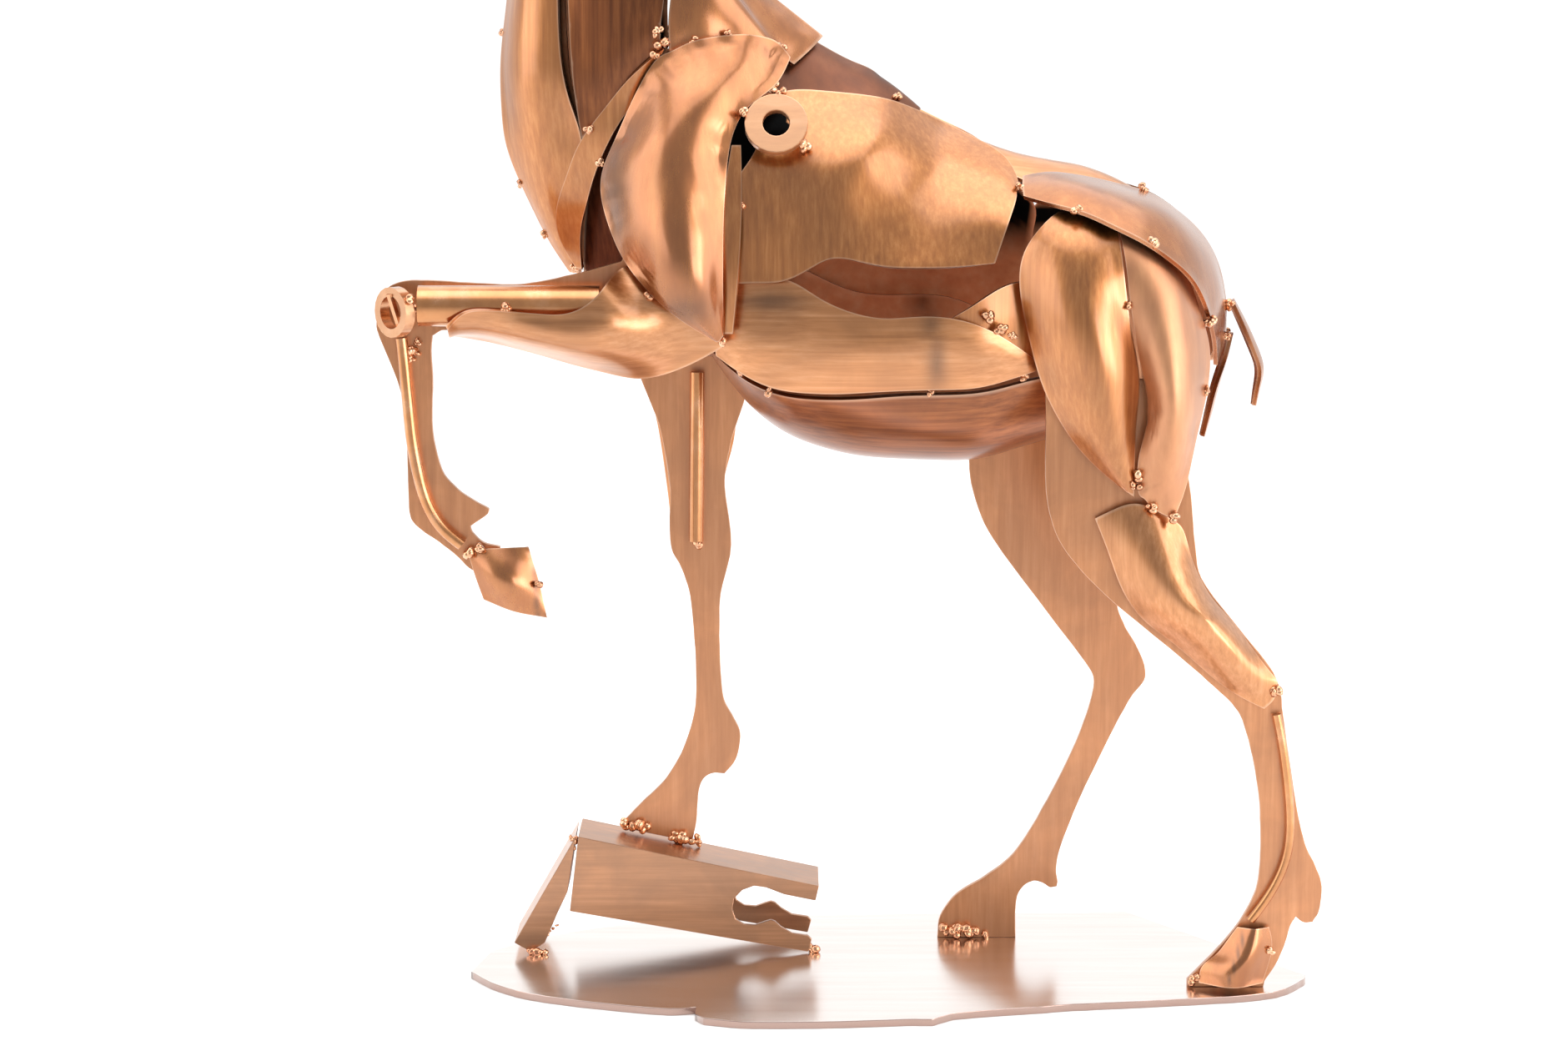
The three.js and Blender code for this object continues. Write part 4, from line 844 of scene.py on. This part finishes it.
# %% Grow lumps on the tacks with Geometry Nodes
def bead_tree():
    tree = bpy.data.node_groups.new("weld_beads", "GeometryNodeTree")
    sockets = {}
    for name, kind, value in (("Geometry", "NodeSocketGeometry", None),
                              ("Lumps per tack", "NodeSocketInt", 4),
                              ("Spread", "NodeSocketFloat", 1.0), ("Lump radius", "NodeSocketFloat", 1.0),
                              ("Dents", "NodeSocketFloat", 0.3), ("Seed", "NodeSocketInt", 7),
                              ("Metal", "NodeSocketMaterial", None)):
        sockets[name] = tree.interface.new_socket(name=name, in_out="INPUT", socket_type=kind)
        if value is not None:
            sockets[name].default_value = value
    tree.interface.new_socket(name="Geometry", in_out="OUTPUT", socket_type="NodeSocketGeometry")
    given = add_node(tree, "NodeGroupInput", (-1200, 0)).outputs
    result = add_node(tree, "NodeGroupOutput", (1200, 0))
    points = add_node(tree, "GeometryNodeMeshToPoints", (-1000, 0))
    tree.links.new(given["Geometry"], points.inputs["Mesh"])
    many = add_node(tree, "GeometryNodeDuplicateElements", (-800, 0), domain="POINT")
    tree.links.new(points.outputs["Points"], many.inputs["Geometry"])
    tree.links.new(given["Lumps per tack"], many.inputs["Amount"])
    size = add_node(tree, "GeometryNodeInputNamedAttribute", (-1000, -300), data_type="FLOAT")
    size.inputs["Name"].default_value = "size"

    def random(kind, low, high, offset, place):
        node = add_node(tree, "FunctionNodeRandomValue", place, data_type=kind)
        ports = [i for i in node.inputs if i.name in ("Min", "Max") and i.enabled]
        ports[0].default_value, ports[1].default_value = low, high
        count = add_node(tree, "ShaderNodeMath", (place[0] - 180, place[1]), operation="ADD")
        tree.links.new(given["Seed"], count.inputs[0])
        count.inputs[1].default_value = offset
        tree.links.new(count.outputs[0], node.inputs["Seed"])
        return next(o for o in node.outputs if o.enabled)

    def product(first, second, place, kind="ShaderNodeMath"):
        if kind == "ShaderNodeMath":
            node = add_node(tree, kind, place, operation="MULTIPLY")
            tree.links.new(second, node.inputs[1])
        else:
            node = add_node(tree, kind, place, operation="SCALE")
            tree.links.new(second, node.inputs["Scale"])
        tree.links.new(first, node.inputs[0])
        return node.outputs[0]

    spread = product(given["Spread"], size.outputs["Attribute"], (-600, -200))
    apart = add_node(tree, "GeometryNodeSetPosition", (-400, 0))
    tree.links.new(many.outputs["Geometry"], apart.inputs["Geometry"])
    tree.links.new(product(random("FLOAT_VECTOR", (-1, -0.5, -0.8), (1, 0.5, 0.8), 1, (-600, -350)), spread,
                           (-500, -350), "ShaderNodeVectorMath"), apart.inputs["Offset"])
    lump = add_node(tree, "GeometryNodeMeshUVSphere", (-400, 300), Segments=8, Rings=6, Radius=1.0)
    radius = product(given["Lump radius"], size.outputs["Attribute"], (-400, -500))
    stretch = product(random("FLOAT_VECTOR", (0.55, 0.45, 0.5), (1.0, 0.75, 0.9), 2, (-400, -650)), radius,
                      (-200, -600), "ShaderNodeVectorMath")
    placed = add_node(tree, "GeometryNodeInstanceOnPoints", (0, 0))
    tree.links.new(apart.outputs["Geometry"], placed.inputs["Points"])
    tree.links.new(lump.outputs["Mesh"], placed.inputs["Instance"])
    tree.links.new(random("FLOAT_VECTOR", (0, 0, 0), (6.28, 6.28, 6.28), 3, (-200, -800)),
                   placed.inputs["Rotation"])
    tree.links.new(stretch, placed.inputs["Scale"])
    real = add_node(tree, "GeometryNodeRealizeInstances", (200, 0))
    tree.links.new(placed.outputs["Instances"], real.inputs["Geometry"])
    uneven = add_node(tree, "ShaderNodeTexNoise", (200, -300), Scale=900.0, Detail=1.0)
    centred = add_node(tree, "ShaderNodeVectorMath", (400, -300), operation="SUBTRACT")
    centred.inputs[1].default_value = (0.5, 0.5, 0.5)
    tree.links.new(uneven.outputs["Color"], centred.inputs[0])
    dented = add_node(tree, "GeometryNodeSetPosition", (600, 0))
    tree.links.new(real.outputs["Geometry"], dented.inputs["Geometry"])
    tree.links.new(product(centred.outputs[0], given["Dents"], (500, -450), "ShaderNodeVectorMath"),
                   dented.inputs["Offset"])
    smooth = add_node(tree, "GeometryNodeSetShadeSmooth", (800, 0))
    tree.links.new(dented.outputs["Geometry"], smooth.inputs["Geometry"])
    metal = add_node(tree, "GeometryNodeSetMaterial", (1000, 0))
    tree.links.new(smooth.outputs["Geometry"], metal.inputs["Geometry"])
    tree.links.new(given["Metal"], metal.inputs["Material"])
    tree.links.new(metal.outputs["Geometry"], result.inputs["Geometry"])
    return tree, sockets


tack_mesh = bpy.data.meshes.new("weld_beads")
tack_mesh.from_pydata([Vector(t[:3]) * MM for t in tacks], [], [])
sizes = tack_mesh.attributes.new("size", "FLOAT", "POINT")
for i, tack in enumerate(tacks):
    sizes.data[i].value = tack[3]
beads = bpy.data.objects.new("weld_beads", tack_mesh)
scene.collection.objects.link(beads)
tree, sockets = bead_tree()
grow = beads.modifiers.new("beads", "NODES")
grow.node_group = tree
for name, value in (("Lumps per tack", 4), ("Spread", 1.0 * MM), ("Lump radius", 1.35 * MM),
                    ("Dents", 0.35 * MM),
                    ("Seed", 7), ("Metal", metals["bead"])):
    grow[sockets[name].identifier] = value
settled(beads)
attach(beads, "root")
print("bead faces", len(beads.data.polygons), "reach", [round(v, 3) for v in beads.dimensions])

# %% [markdown]
# ## Floor and light
# The picture was lit from a large white tent: everything above and behind is white, while the camera side
# is open and darker. The floor is white paper, painted grey towards the camera side as painted shade from
# that open side. Softboxes above, at both sides and low on the right give the long highlights.

# %% Floor, sky and softboxes
floor_mesh = bmesh.new()
bmesh.ops.create_circle(floor_mesh, cap_ends=True, segments=96, radius=3)
floor = to_object("floor", floor_mesh)
floor.location.z = cad_low.z
paper = bpy.data.materials.new("white_paper")
paper.use_nodes = True
tree = paper.node_tree
face = tree.nodes["Principled BSDF"]
face.inputs["Roughness"].default_value = 0.8
where = add_node(tree, "ShaderNodeTexCoord", (-900, 0))
grain = add_node(tree, "ShaderNodeTexNoise", (-700, -200), Scale=400.0, Detail=3.0)
tree.links.new(where.outputs["Object"], grain.inputs["Vector"])
split = add_node(tree, "ShaderNodeSeparateXYZ", (-700, 0))
tree.links.new(where.outputs["Object"], split.inputs["Vector"])
# Painted shade: the floor greys towards the open, darker camera side.
painted_floor_shade = add_node(tree, "ShaderNodeMapRange", (-500, 0))
painted_floor_shade.inputs["From Min"].default_value, painted_floor_shade.inputs["From Max"].default_value = -0.7, -0.08
tree.links.new(split.outputs["Y"], painted_floor_shade.inputs["Value"])
tree.links.new(ramp(tree, painted_floor_shade.outputs["Result"], [(0, grey(0.5)), (1, grey(0.93))], (-300, 0)),
               face.inputs["Base Color"])
press = add_node(tree, "ShaderNodeBump", (-300, -200), Strength=0.05, Distance=0.0002)
tree.links.new(grain.outputs["Fac"], press.inputs["Height"])
tree.links.new(press.outputs["Normal"], face.inputs["Normal"])
floor.data.materials.append(paper)

world = bpy.data.worlds.new("white_tent")
scene.world = world
world.use_nodes = True
sky = world.node_tree
sky.nodes.clear()
out = add_node(sky, "ShaderNodeOutputWorld", (600, 0))
glow = add_node(sky, "ShaderNodeBackground", (400, 0), Strength=1.0)
sky.links.new(glow.outputs["Background"], out.inputs["Surface"])
direction = add_node(sky, "ShaderNodeTexCoord", (-600, 0))
parts = add_node(sky, "ShaderNodeSeparateXYZ", (-400, 0))
sky.links.new(direction.outputs["Generated"], parts.inputs["Vector"])
back = add_node(sky, "ShaderNodeMapRange", (-200, 100))
back.inputs["From Min"].default_value, back.inputs["From Max"].default_value = -1.0, 0.35
sky.links.new(parts.outputs["Y"], back.inputs["Value"])
tent = ramp(sky, back.outputs["Result"],
            [(0.0, grey(0.5)), (0.35, grey(0.6)), (0.7, grey(1.0)), (1.0, grey(1.1))])
sky.links.new(tent, glow.inputs["Color"])


def softbox(name, place, target, size, power, tint=(1, 1, 1)):
    data = bpy.data.lights.new(name, "AREA")
    data.shape, data.size, data.size_y, data.energy, data.color = "RECTANGLE", size[0], size[1], power, tint
    light = bpy.data.objects.new(name, data)
    light.location = Vector(place)
    light.rotation_euler = (Vector(target) - light.location).to_track_quat("-Z", "Y").to_euler()
    scene.collection.objects.link(light)


sun_data = bpy.data.lights.new("lit_ceiling", "SUN")
sun_data.energy, sun_data.angle = 1.0, math.radians(80)
sun = bpy.data.objects.new("lit_ceiling", sun_data)
sun.rotation_euler = (math.radians(-12), 0, 0)
scene.collection.objects.link(sun)
softbox("top", (0.0, -0.35, 1.4), (0, 0, 0.1), (1.8, 1.2), 10)
softbox("left_front", (-1.35, -0.5, 0.5), (0, 0, 0.18), (1.0, 1.6), 9)
softbox("right_front", (1.35, -0.42, 0.45), (0, 0, 0.18), (1.2, 1.5), 12)
softbox("right_low", (0.92, -0.88, 0.2), (0.05, 0, 0.18), (0.8, 0.42), 4.5)
scene.view_settings.view_transform = "Standard"
